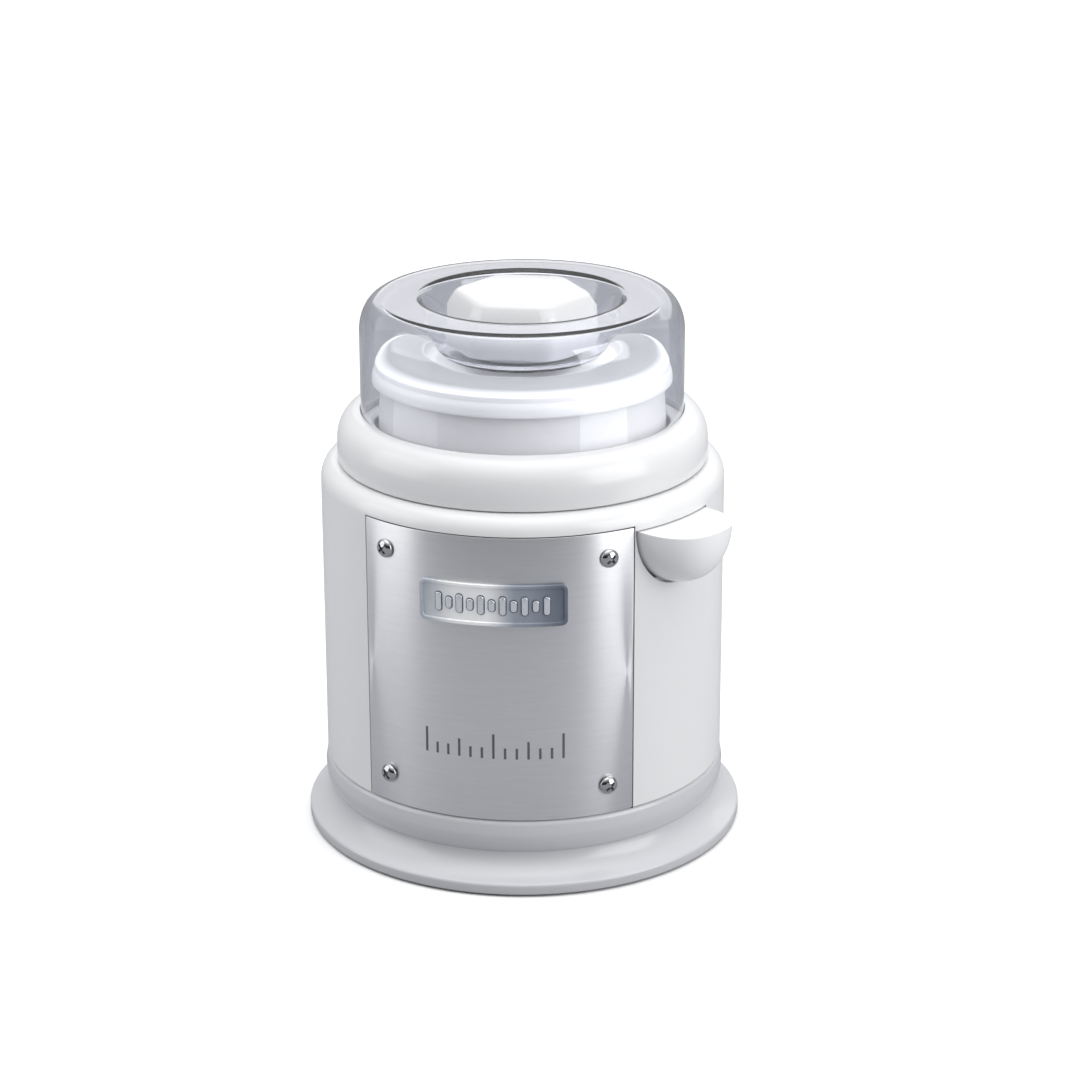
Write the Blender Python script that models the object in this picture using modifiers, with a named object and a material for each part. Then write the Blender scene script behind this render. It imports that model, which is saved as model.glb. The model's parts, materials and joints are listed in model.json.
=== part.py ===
"""Single-jar yogurt maker: a round heated housing with a lift-out jar under a clear dome.

Frame: metres, +Z up, origin on the floor at the centre of the foot ring, front towards -Y.
Every sub-part is one closed body. Angles round the body are measured from the front (-Y)
towards +X, and points turned round the axis are written as (radius, height).
"""
from math import cos, pi, radians, sin

import bmesh
import bpy
from mathutils import Matrix, Vector

MM = 0.001
GAP = 0.3 * MM                 # clearance between pieces that touch
STEPS = 36                     # facets round a turned piece
AXIS_Z = Vector((0, 0, 1))

# ---- driving dimensions -------------------------------------------------------------------
BODY_R = 82.0 * MM             # housing's outer radius
RIM_R = 90.0 * MM              # foot ring's outer radius
RIM_Z = 1.0 * MM               # the feet lift the ring's rim off the table
RING_TOP_Z = 29.3 * MM         # where the foot ring meets the housing and the front panel
SHOULDER_Z = 147.5 * MM        # where the housing starts to round in
SEAM_Z = 155.2 * MM            # top of the housing, under the collar
SEAM_R = 75.4 * MM
COLLAR_R = 75.15 * MM
COLLAR_SIDE_Z = 163.5 * MM     # end of the collar's upright side
COLLAR_TOP_Z = 175.7 * MM
DOME_R = 65.35 * MM
DOME_TOP_Z = 220.5 * MM
DOME_WALL = 2.4 * MM
WELL_TOP_R = 40.9 * MM         # finger well in the dome's top
WELL_FLOOR_R = 31.0 * MM
WELL_FLOOR_Z = 200.2 * MM
KNOB_FLAT_R = 28.4 * MM        # knob's centre to the middle of a side
KNOB_TOP_Z = 224.0 * MM
JAR_R = 56.6 * MM
JAR_FLOOR_Z = 62.5 * MM
JAR_RIM_Z = 195.0 * MM
LID_R = 61.1 * MM
LID_TOP_Z = 199.4 * MM
LID_SKIRT_Z = 188.8 * MM
WALL = 3.0 * MM                # housing's wall
INNER_R = BODY_R - WALL

PANEL_HALF_ANGLE = 40.0        # degrees each side of the front
PANEL_THICKNESS = 1.0 * MM
PANEL_TOP_Z = 147.5 * MM
PANEL_SCREW_ANGLE = 31.9
PANEL_SCREW_ZS = (41.8 * MM, 137.1 * MM)
NAMEPLATE_SIZE = (59.0 * MM, 18.5 * MM)
NAMEPLATE_Z = 120.5 * MM

LEVER_ANGLE = 55.5             # direction the thumb lever points in
LEVER_TOP_Z = 145.4 * MM
LEVER_REACH = 23.4 * MM        # how far the beak stands out of the housing
LEVER_HALF_WIDTH = 20.0 * MM
LEVER_DROP = 24.0 * MM
PIVOT_U = 72.5 * MM            # lever pivot, out from the body's axis
PIVOT_Z = 141.5 * MM

LINER_R = 59.8 * MM            # heating well's outer radius
LINER_FLOOR_Z = 60.0 * MM
INLET_Z = 45.0 * MM
PLATE_Z = (5.0 * MM, 7.5 * MM) # bottom plate's lower and upper face
BASE_SCREW_R = 72.0 * MM
FOOT_RING_R = 60.0 * MM


# ---- scene and modelling helpers ----------------------------------------------------------
def clear_scene():
    for old in list(bpy.data.objects):
        bpy.data.objects.remove(old, do_unlink=True)


def new_collection(name):
    collection = bpy.data.collections.new(name)
    bpy.context.scene.collection.children.link(collection)
    return collection


def make_material(name, colour, roughness, metallic=0.0, alpha=1.0):
    material = bpy.data.materials.new(name)
    material.use_nodes = True
    shader = material.node_tree.nodes["Principled BSDF"]
    shader.inputs["Base Color"].default_value = (*colour, 1.0)
    shader.inputs["Roughness"].default_value = roughness
    shader.inputs["Metallic"].default_value = metallic
    shader.inputs["Alpha"].default_value = alpha
    material.diffuse_color = (*colour, alpha)
    return material


clear_scene()
PARTS = new_collection("yogurt_maker")
CUTTERS = new_collection("cutters")
WHITE = make_material("white_gloss", (0.86, 0.86, 0.87), 0.22)
JAR_WHITE = make_material("jar_white", (0.90, 0.90, 0.89), 0.35)
CLEAR = make_material("clear_cover", (0.86, 0.88, 0.92), 0.05, alpha=0.35)
PANEL_METAL = make_material("panel_metal", (0.66, 0.67, 0.69), 0.38, 1.0)
PLATE_METAL = make_material("nameplate_metal", (0.50, 0.56, 0.62), 0.28, 1.0)
CHROME = make_material("chrome", (0.82, 0.82, 0.84), 0.10, 1.0)
STEEL = make_material("steel", (0.62, 0.62, 0.63), 0.35, 1.0)
ALUMINIUM = make_material("aluminium", (0.78, 0.78, 0.79), 0.40, 1.0)
RUBBER = make_material("rubber", (0.12, 0.12, 0.12), 0.80)
SILICONE = make_material("silicone", (0.80, 0.80, 0.78), 0.60)
BLACK = make_material("black_plastic", (0.06, 0.06, 0.065), 0.45)
WOOL = make_material("insulation", (0.78, 0.76, 0.70), 0.95)
BRASS = make_material("brass", (0.78, 0.60, 0.30), 0.30, 1.0)
WIRE_BROWN = make_material("wire_brown", (0.30, 0.12, 0.06), 0.50)
WIRE_BLUE = make_material("wire_blue", (0.06, 0.16, 0.50), 0.50)
WIRE_GREEN = make_material("wire_green", (0.16, 0.42, 0.12), 0.50)


def add_object(name, mesh, material=None, cutter=False):
    piece = bpy.data.objects.new(name, mesh)
    (CUTTERS if cutter else PARTS).objects.link(piece)
    if material:
        mesh.materials.append(material)
    if cutter:
        piece.hide_render = True
        piece.display_type = "WIRE"
    else:
        mesh.shade_smooth()
        mesh.set_sharp_from_angle(angle=radians(35))
    return piece


def mesh_from(build):
    mesh = bpy.data.meshes.new("shape")
    shape = bmesh.new()
    build(shape)
    shape.to_mesh(mesh)
    shape.free()
    return mesh


def boolean(piece, other, operation):
    modifier = piece.modifiers.new(operation.lower(), "BOOLEAN")
    modifier.operation = operation
    modifier.object = other
    modifier.solver = "EXACT"


def cut(piece, *cutters):
    for cutter in cutters:
        boolean(piece, cutter, "DIFFERENCE")
    return piece


def join(piece, *others):
    for other in others:
        boolean(piece, other, "UNION")
    return piece


def direction(angle):
    """Unit vector out of the body at this angle from the front."""
    return Vector((sin(radians(angle)), -cos(radians(angle)), 0))


def sideways(angle):
    """Unit vector along the wall at this angle, so that direction x sideways is up."""
    return Vector((cos(radians(angle)), sin(radians(angle)), 0))


def on_body(angle, u, t, z):
    """A point u out from the axis and t along the wall at this angle."""
    return direction(angle) * u + sideways(angle) * t + AXIS_Z * z


def arc(centre_r, centre_z, size_r, size_z, start, end, points):
    """Points on an ellipse's arc in the (radius, height) plane, angles in degrees."""
    turns = [radians(start + (end - start) * i / (points - 1)) for i in range(points)]
    return [(centre_r + size_r * cos(a), centre_z + size_z * sin(a)) for a in turns]


def bend(start, control, end, points):
    """Points on a quadratic curve, its first point left out."""
    spots = []
    for i in range(1, points + 1):
        s = i / points
        spots.append(tuple((1 - s) ** 2 * start[k] + 2 * s * (1 - s) * control[k] + s * s * end[k]
                           for k in (0, 1)))
    return spots


def turned(name, outline, material=None, cutter=False, steps=STEPS, closed=True):
    """Turns an outline round Z. It runs down its outer side, and up its inner side."""
    mesh = bpy.data.meshes.new(name)
    edges = [(i, i + 1) for i in range(len(outline) - 1)]
    if closed:
        edges.append((len(outline) - 1, 0))
    mesh.from_pydata([(r, 0, z) for r, z in outline], edges, [])
    piece = add_object(name, mesh, material, cutter)
    screw = piece.modifiers.new("turn", "SCREW")
    screw.axis = "Z"
    screw.angle = 2 * pi
    screw.steps = steps
    screw.render_steps = steps
    screw.use_merge_vertices = True
    screw.merge_threshold = 1e-6
    screw.use_smooth_shade = True
    return piece


def sector(name, r0, r1, z0, z1, half_angle, steps, material=None, cutter=False):
    """A curved slab between two radii, two heights and an angle either side of the front."""
    def build(shape):
        rows = []
        for i in range(steps + 1):
            out = direction(half_angle * (2 * i / steps - 1))
            corners = ((r0, z0), (r1, z0), (r1, z1), (r0, z1))
            rows.append([shape.verts.new(out * r + AXIS_Z * z) for r, z in corners])
        for row, after in zip(rows, rows[1:]):
            for k in range(4):
                m = (k + 1) % 4
                shape.faces.new((row[k], row[m], after[m], after[k]))
        shape.faces.new(reversed(rows[0]))
        shape.faces.new(rows[-1])
        bmesh.ops.recalc_face_normals(shape, faces=shape.faces)
    return add_object(name, mesh_from(build), material, cutter)


def along(axis, centre):
    """A matrix that stands a piece made along +Z on another axis, at a centre."""
    turn = axis.to_track_quat("Z", "Y").to_matrix().to_4x4()
    return Matrix.Translation(centre) @ turn


def rod(name, start, end, radius, material=None, cutter=False, segments=16):
    """A plain cylinder between two points."""
    axis = Vector(end) - Vector(start)
    place = along(axis, (Vector(start) + Vector(end)) / 2)

    def build(shape):
        bmesh.ops.create_cone(shape, cap_ends=True, segments=segments, radius1=radius,
                              radius2=radius, depth=axis.length)
        bmesh.ops.transform(shape, matrix=place, verts=shape.verts)
    return add_object(name, mesh_from(build), material, cutter)


def block(name, centre, size, material=None, cutter=False, angle=None, bevel=0.0):
    """A box. With an angle, its sizes are (out, along the wall, up) at that angle."""
    if angle is None:
        turn = Matrix.Translation(centre)
    else:
        turn = Matrix((direction(angle), sideways(angle), AXIS_Z)).transposed().to_4x4()
        turn = Matrix.Translation(centre) @ turn
    stretch = Matrix.Diagonal((*size, 1.0))

    def build(shape):
        bmesh.ops.create_cube(shape, size=1.0, matrix=stretch)
        if bevel:
            bmesh.ops.bevel(shape, geom=shape.edges[:], offset=bevel, segments=2, profile=0.5,
                            affect="EDGES")
        bmesh.ops.transform(shape, matrix=turn, verts=shape.verts)
    return add_object(name, mesh_from(build), material, cutter)


def spindle(name, outline, place, material=None, cutter=False, segments=12):
    """A small turned piece that starts and ends on its own axis, set down by a matrix."""
    def build(shape):
        points = [shape.verts.new((r, 0, z)) for r, z in outline]
        edges = [shape.edges.new(pair) for pair in zip(points, points[1:])]
        bmesh.ops.spin(shape, geom=points + edges, cent=(0, 0, 0), axis=(0, 0, 1),
                       angle=2 * pi, steps=segments, use_merge=True)
        bmesh.ops.remove_doubles(shape, verts=shape.verts, dist=1e-7)
        bmesh.ops.recalc_face_normals(shape, faces=shape.faces)
        bmesh.ops.transform(shape, matrix=place, verts=shape.verts)
    return add_object(name, mesh_from(build), material, cutter)


def tube(name, points, radius, material):
    """A bent rod or wire along a list of points."""
    curve = bpy.data.curves.new(name, "CURVE")
    curve.dimensions = "3D"
    curve.bevel_depth = radius
    curve.bevel_resolution = 2
    curve.use_fill_caps = True
    spline = curve.splines.new("POLY")
    spline.points.add(len(points) - 1)
    for spot, point in zip(spline.points, points):
        spot.co = (*point, 1.0)
    piece = bpy.data.objects.new(name, curve)
    PARTS.objects.link(piece)
    curve.materials.append(material)
    return piece


def smooth_route(knots, spacing):
    """Points along a Catmull-Rom curve through the knots, about this far apart."""
    spots = [Vector(k) for k in knots]
    ends = [2 * spots[0] - spots[1], *spots, 2 * spots[-1] - spots[-2]]
    route = [spots[0]]
    for a, b, c, d in zip(ends, ends[1:], ends[2:], ends[3:]):
        count = max(1, round((c - b).length / spacing))
        for i in range(1, count + 1):
            s = i / count
            route.append(0.5 * (2 * b + (c - a) * s + (2 * a - 5 * b + 4 * c - d) * s * s
                                + (3 * b - a - 3 * c + d) * s ** 3))
    return route


def set_origin(piece, point):
    """Puts a moving piece's origin on its joint without moving its shape."""
    piece.data.transform(Matrix.Translation(-point))
    piece.location = point


# ---- foot ring, bottom plate and feet -----------------------------------------------------
QUARTERS = (45.0, 135.0, 225.0, 315.0)
SIDES = (0.0, 90.0, 180.0, 270.0)


def make_base_ring():
    neck, waist, rim = (81.9 * MM, 18.5 * MM), (84.4 * MM, 9.9 * MM), (RIM_R, RIM_Z)
    outside = arc(80.3 * MM, 27.7 * MM, 1.6 * MM, 1.6 * MM, 90, 0, 4)
    outside += [(82.2 * MM, 24.5 * MM), neck]
    outside += bend(neck, (81.9 * MM, 11.6 * MM), waist, 4)
    outside += bend(waist, (RIM_R, 5.9 * MM), rim, 4)
    inside = [(r * MM, z * MM) for r, z in (
        (88.4, 1.0), (86.9, 3.8), (83.4, 7.6), (80.4, 10.2), (79.6, 14.0), (79.6, 22.0),
        (66.0, 22.0), (66.0, 24.5), (75.6, 24.5), (75.6, 35.5), (78.3, 35.5), (78.6, 35.2),
        (78.6, 29.3))]
    ring = turned("base_ring", outside + inside, WHITE)
    for angle in QUARTERS:
        spot = direction(angle) * BASE_SCREW_R
        join(ring, rod("ring_pillar", spot + AXIS_Z * 7.8 * MM, spot + AXIS_Z * 23.0 * MM,
                       3.3 * MM, cutter=True, segments=12))
    for angle in QUARTERS:
        spot = direction(angle) * BASE_SCREW_R
        cut(ring, rod("ring_screw_hole", spot, spot + AXIS_Z * 30.0 * MM, 1.9 * MM,
                      cutter=True, segments=12))


def make_bottom_plate():
    low, high = PLATE_Z
    plate = rod("bottom_plate", (0, 0, low), (0, 0, high), 81.5 * MM, WHITE, segments=STEPS)
    for angle in QUARTERS:
        spot = direction(angle) * BASE_SCREW_R
        cut(plate, rod("plate_screw_hole", spot, spot + AXIS_Z * 20.0 * MM, 1.9 * MM,
                       cutter=True, segments=12))
    for angle in SIDES:
        spot = direction(angle) * FOOT_RING_R
        cut(plate, rod("foot_hole", spot, spot + AXIS_Z * 20.0 * MM, 2.5 * MM,
                       cutter=True, segments=12))
    for k in range(8):
        angle = 22.5 + 45.0 * k
        cut(plate, block("vent", on_body(angle, 38.0 * MM, 0, low), (24.0 * MM, 3.2 * MM, 9.0 * MM),
                         cutter=True, angle=angle))


def make_feet_and_base_screws():
    foot = [(0, 0), (6.6, 0), (7.5, 0.9), (7.5, 4.7), (2.2, 4.7), (2.2, 7.8), (3.2, 7.9),
            (1.8, 9.6), (0, 9.6)]
    screw = [(0, 2.6), (2.6, 2.6), (3.4, 3.3), (3.4, 4.7), (1.6, 4.7), (1.6, 39.4), (0, 40.6)]
    for k, angle in enumerate(SIDES, 1):
        spindle(f"rubber_foot_{k}", [(r * MM, z * MM) for r, z in foot],
                Matrix.Translation(direction(angle) * FOOT_RING_R), RUBBER)
    for k, angle in enumerate(QUARTERS, 1):
        spindle(f"base_screw_{k}", [(r * MM, z * MM) for r, z in screw],
                Matrix.Translation(direction(angle) * BASE_SCREW_R), STEEL, segments=10)


# ---- housing ------------------------------------------------------------------------------
def half_moon_points(half_width, drop, count):
    """Half an ellipse below a straight top edge, as (along the wall, height) pairs."""
    return [(-half_width * cos(pi * i / (count - 1)), -drop * sin(pi * i / (count - 1)))
            for i in range(count)]


def lever_window():
    """The half-moon window that the thumb lever stands in."""
    outline = half_moon_points(LEVER_HALF_WIDTH + 0.6 * MM, LEVER_DROP + 2.0 * MM, 17)
    top = LEVER_TOP_Z + 0.5 * MM

    def build(shape):
        ends = [[shape.verts.new(on_body(LEVER_ANGLE, u, t, top + z)) for t, z in outline]
                for u in (70.0 * MM, 92.0 * MM)]
        for side in ends:
            shape.faces.new(side)
        for i in range(len(outline)):
            j = (i + 1) % len(outline)
            shape.faces.new((ends[0][i], ends[0][j], ends[1][j], ends[1][i]))
        bmesh.ops.recalc_face_normals(shape, faces=shape.faces)
    return add_object("lever_window", mesh_from(build), cutter=True)


def panel_screw_places():
    return [(angle, z) for z in PANEL_SCREW_ZS for angle in (-PANEL_SCREW_ANGLE, PANEL_SCREW_ANGLE)]


def make_housing():
    outside = arc(SEAM_R, SHOULDER_Z, BODY_R - SEAM_R, SEAM_Z - SHOULDER_Z, 90, 0, 6)
    outside.append((BODY_R, RING_TOP_Z + GAP))
    inside = [(INNER_R, RING_TOP_Z + GAP)]
    inside += arc(73.5 * MM, 144.2 * MM, 5.5 * MM, 5.5 * MM, 0, 90, 4)
    inside += [(r * MM, z * MM) for r, z in ((60.4, 149.7), (60.4, 152.2), (72.6, 152.2))]
    inside.append((72.6 * MM, SEAM_Z))
    housing = turned("housing", outside + inside, WHITE)
    cut(housing, sector("panel_recess", BODY_R - PANEL_THICKNESS - GAP, 85.0 * MM, 28.0 * MM,
                        PANEL_TOP_Z + GAP, PANEL_HALF_ANGLE + 0.25, 10, cutter=True))
    cut(housing, lever_window())
    cut(housing, block("inlet_window", (0, 80.0 * MM, INLET_Z), (30.8 * MM, 16.0 * MM, 21.6 * MM),
                       cutter=True))
    for angle, z in panel_screw_places():
        join(housing, rod("screw_boss", on_body(angle, 73.0 * MM, 0, z),
                          on_body(angle, 79.8 * MM, 0, z), 3.4 * MM, cutter=True, segments=12))
    for angle in QUARTERS:
        spot = direction(angle) * BASE_SCREW_R
        join(housing,
             rod("post", spot + AXIS_Z * 24.8 * MM, spot + AXIS_Z * 60.0 * MM, 3.3 * MM,
                 cutter=True, segments=12),
             block("post_rib", on_body(angle, 76.0 * MM, 0, 47.5 * MM),
                   (8.4 * MM, 2.4 * MM, 22.0 * MM), cutter=True, angle=angle))
    for side in (-1, 1):
        join(housing,
             block("pin_lug", on_body(LEVER_ANGLE, 72.9 * MM, side * 24.1 * MM, PIVOT_Z),
                   (6.0 * MM, 3.0 * MM, 8.0 * MM), cutter=True, angle=LEVER_ANGLE),
             rod("bracket_post", on_body(LEVER_ANGLE, 69.7 * MM, side * 13.0 * MM, 121.0 * MM),
                 on_body(LEVER_ANGLE, 78.6 * MM, side * 13.0 * MM, 121.0 * MM), 2.4 * MM,
                 cutter=True, segments=12))
    for angle, z in panel_screw_places():
        cut(housing, rod("panel_screw_hole", on_body(angle, 70.0 * MM, 0, z),
                         on_body(angle, 88.0 * MM, 0, z), 1.8 * MM, cutter=True, segments=12))
    for angle in QUARTERS:
        spot = direction(angle) * BASE_SCREW_R
        cut(housing, rod("post_hole", spot + AXIS_Z * 20.0 * MM, spot + AXIS_Z * 46.0 * MM,
                         1.9 * MM, cutter=True, segments=12))
    cut(housing, rod("pin_hole", on_body(LEVER_ANGLE, PIVOT_U, -27.0 * MM, PIVOT_Z),
                     on_body(LEVER_ANGLE, PIVOT_U, 27.0 * MM, PIVOT_Z), 1.6 * MM, cutter=True,
                     segments=12))
    for side in (-1, 1):
        t = side * 13.0 * MM
        cut(housing, rod("bracket_screw_hole", on_body(LEVER_ANGLE, 66.0 * MM, t, 121.0 * MM),
                         on_body(LEVER_ANGLE, 76.0 * MM, t, 121.0 * MM), 1.2 * MM, cutter=True,
                         segments=12))


# ---- front panel, its screws and the nameplate --------------------------------------------
def make_front_panel():
    panel = sector("front_panel", BODY_R - PANEL_THICKNESS, BODY_R, RING_TOP_Z + GAP, PANEL_TOP_Z,
                   PANEL_HALF_ANGLE, 10, PANEL_METAL)
    for angle, z in panel_screw_places():
        cut(panel, rod("panel_hole", on_body(angle, 78.0 * MM, 0, z),
                       on_body(angle, 86.0 * MM, 0, z), 1.8 * MM, cutter=True, segments=16))
    head = arc(0, BODY_R + GAP, 3.8 * MM, 2.2 * MM, 90, 0, 5)
    shank = [(1.5 * MM, BODY_R + GAP), (1.5 * MM, 72.3 * MM), (0, 71.5 * MM)]
    for k, (angle, z) in enumerate(panel_screw_places(), 1):
        spindle(f"panel_screw_{k}", head + shank, along(direction(angle), AXIS_Z * z), CHROME)


def make_nameplate():
    width, height = NAMEPLATE_SIZE
    plate = sector("nameplate", BODY_R + GAP, BODY_R + 1.9 * MM, NAMEPLATE_Z - height,
                   NAMEPLATE_Z + height, 24.0, 12, PLATE_METAL)
    outline = block("nameplate_outline", (0, -BODY_R, NAMEPLATE_Z),
                    (width - 1.0 * MM, 20.0 * MM, height), cutter=True, bevel=3.0 * MM)
    boolean(plate, outline, "INTERSECT")
    cut(plate, sector("nameplate_field", BODY_R + 1.3 * MM, BODY_R + 4.0 * MM,
                      NAMEPLATE_Z - height / 2 + 1.9 * MM, NAMEPLATE_Z + height / 2 - 1.9 * MM,
                      18.6, 10, cutter=True))


# ---- collar, heating well and insulation --------------------------------------------------
def make_collar():
    outside = arc(65.7 * MM, COLLAR_SIDE_Z, COLLAR_R - 65.7 * MM, COLLAR_TOP_Z - COLLAR_SIDE_Z,
                  90, 0, 8)
    outside.append((COLLAR_R, SEAM_Z + GAP))
    inside = [(r * MM, z * MM) for r, z in (
        (72.3, 155.5), (72.3, 152.5), (70.0, 152.5), (70.0, 164.0), (67.5, 169.5), (60.6, 169.5),
        (60.6, 154.0), (58.2, 154.0), (58.2, 172.6), (59.4, 173.8), (62.6, 173.8),
        (62.6, 172.0), (65.7, 172.0))]
    turned("collar_ring", outside + inside, WHITE)


def make_heating_well():
    floor, radius = LINER_FLOOR_Z, LINER_R
    inner = radius - 1.2 * MM
    turned("heating_well", [
        (0, floor + 1.2 * MM), (inner - 2.0 * MM, floor + 1.2 * MM), (inner, floor + 3.2 * MM),
        (inner, 153.7 * MM), (65.5 * MM, 153.7 * MM), (65.5 * MM, 152.5 * MM),
        (radius, 152.5 * MM), (radius, floor + 2.6 * MM), (radius - 2.6 * MM, floor), (0, floor),
    ], ALUMINIUM, closed=False)
    turned("insulation_sleeve", [(66.8 * MM, 149.3 * MM), (66.8 * MM, 64.0 * MM),
                                 (60.4 * MM, 64.0 * MM), (60.4 * MM, 149.3 * MM)], WOOL)


# ---- jar and lid --------------------------------------------------------------------------
def make_jar():
    inner = JAR_R - 2.2 * MM
    floor = JAR_FLOOR_Z
    inside = [(0, floor + 2.7 * MM)]
    inside += arc(inner - 4 * MM, floor + 6.7 * MM, 4 * MM, 4 * MM, -90, 0, 4)
    mouth = [(inner, JAR_RIM_Z - 0.6 * MM), (inner + 0.6 * MM, JAR_RIM_Z),
             (57.8 * MM, JAR_RIM_Z), (58.6 * MM, 194.2 * MM), (58.6 * MM, 192.0 * MM),
             (JAR_R, 190.6 * MM)]
    outside = arc(JAR_R - 4 * MM, floor + 4 * MM, 4 * MM, 4 * MM, 0, -90, 4)
    turned("jar", inside + mouth + outside + [(0, floor)], JAR_WHITE, closed=False)


def make_jar_lid():
    top = [(r * MM, z * MM) for r, z in ((0, 195.4), (36.4, 195.4), (38.3, 196.3), (39.4, 199.4))]
    edge = arc(LID_R - 3.6 * MM, LID_TOP_Z - 3.6 * MM, 3.6 * MM, 3.6 * MM, 90, 0, 5)
    skirt = [(LID_R, 191.0 * MM), (60.6 * MM, LID_SKIRT_Z), (59.1 * MM, LID_SKIRT_Z)]
    under = [(r * MM, z * MM) for r, z in ((59.1, 197.0), (41.4, 197.0), (40.6, 193.4), (0, 193.4))]
    turned("jar_lid", top + edge + skirt + under, JAR_WHITE, closed=False)
    turned("lid_seal", [(57.7 * MM, 196.7 * MM), (57.7 * MM, 195.3 * MM),
                        (54.9 * MM, 195.3 * MM), (54.9 * MM, 196.7 * MM)], SILICONE)


# ---- clear cover and its knob -------------------------------------------------------------
def make_dome():
    turn_r, turn_z = 53.5 * MM, 207.6 * MM     # where the flat top starts to round down
    well = [(1.9 * MM, WELL_FLOOR_Z), (WELL_FLOOR_R, WELL_FLOOR_Z), (33.0 * MM, 201.8 * MM),
            (39.9 * MM, 219.0 * MM), (WELL_TOP_R, DOME_TOP_Z)]
    outside = arc(turn_r, turn_z, DOME_R - turn_r, DOME_TOP_Z - turn_z, 90, 0, 7)
    outside.append((DOME_R, 172.5 * MM))
    inner_r = DOME_R - DOME_WALL
    inside = [(inner_r, 172.5 * MM)]
    inside += arc(turn_r, turn_z, inner_r - turn_r, DOME_TOP_Z - DOME_WALL - turn_z, 0, 90, 6)
    under = [(r * MM, z * MM) for r, z in (
        (43.0, 218.1), (41.9, 217.0), (35.3, 200.4), (32.9, 197.8), (4.4, 197.8), (1.9, 199.6))]
    turned("dome_cover", well + outside + inside + under, CLEAR)


def make_knob():
    corner_r = KNOB_FLAT_R / cos(radians(30))
    skirt_z = 206.0 * MM

    def build(shape):
        foot = [shape.verts.new(direction(30 + 60 * k) * corner_r + AXIS_Z * skirt_z)
                for k in range(6)]
        face = shape.faces.new(foot)
        raised = bmesh.ops.extrude_face_region(shape, geom=[face])
        lift = [v for v in raised["geom"] if isinstance(v, bmesh.types.BMVert)]
        bmesh.ops.translate(shape, verts=lift, vec=AXIS_Z * (KNOB_TOP_Z - skirt_z))
        bmesh.ops.recalc_face_normals(shape, faces=shape.faces)
        upright = [e for e in shape.edges if abs(e.verts[0].co.z - e.verts[1].co.z) > MM]
        bmesh.ops.bevel(shape, geom=upright, offset=5.0 * MM, segments=3, profile=0.5,
                        affect="EDGES")
        crown = [e for e in shape.edges if min(v.co.z for v in e.verts) > KNOB_TOP_Z - MM]
        bmesh.ops.bevel(shape, geom=crown, offset=5.0 * MM, segments=4, profile=0.5,
                        affect="EDGES")
    knob = add_object("dome_knob", mesh_from(build), WHITE)
    foot_z = WELL_FLOOR_Z + GAP
    join(knob, rod("knob_foot", (0, 0, foot_z), (0, 0, 210.0 * MM), 24.0 * MM, cutter=True,
                   segments=32))
    cut(knob, turned("knob_hollow", [(20.0 * MM, 216.0 * MM), (20.0 * MM, 199.0 * MM),
                                     (6.0 * MM, 199.0 * MM), (6.0 * MM, 216.0 * MM)],
                     cutter=True, steps=24),
        rod("knob_screw_hole", (0, 0, 199.0 * MM), (0, 0, 214.0 * MM), 1.8 * MM, cutter=True,
            segments=12))
    spindle("knob_screw", [(0, 197.9 * MM), (3.7 * MM, 197.9 * MM), (3.7 * MM, 198.1 * MM),
                           (1.5 * MM, 199.7 * MM), (1.5 * MM, 211.5 * MM), (0, 212.5 * MM)],
            Matrix.Identity(4), STEEL)


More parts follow.
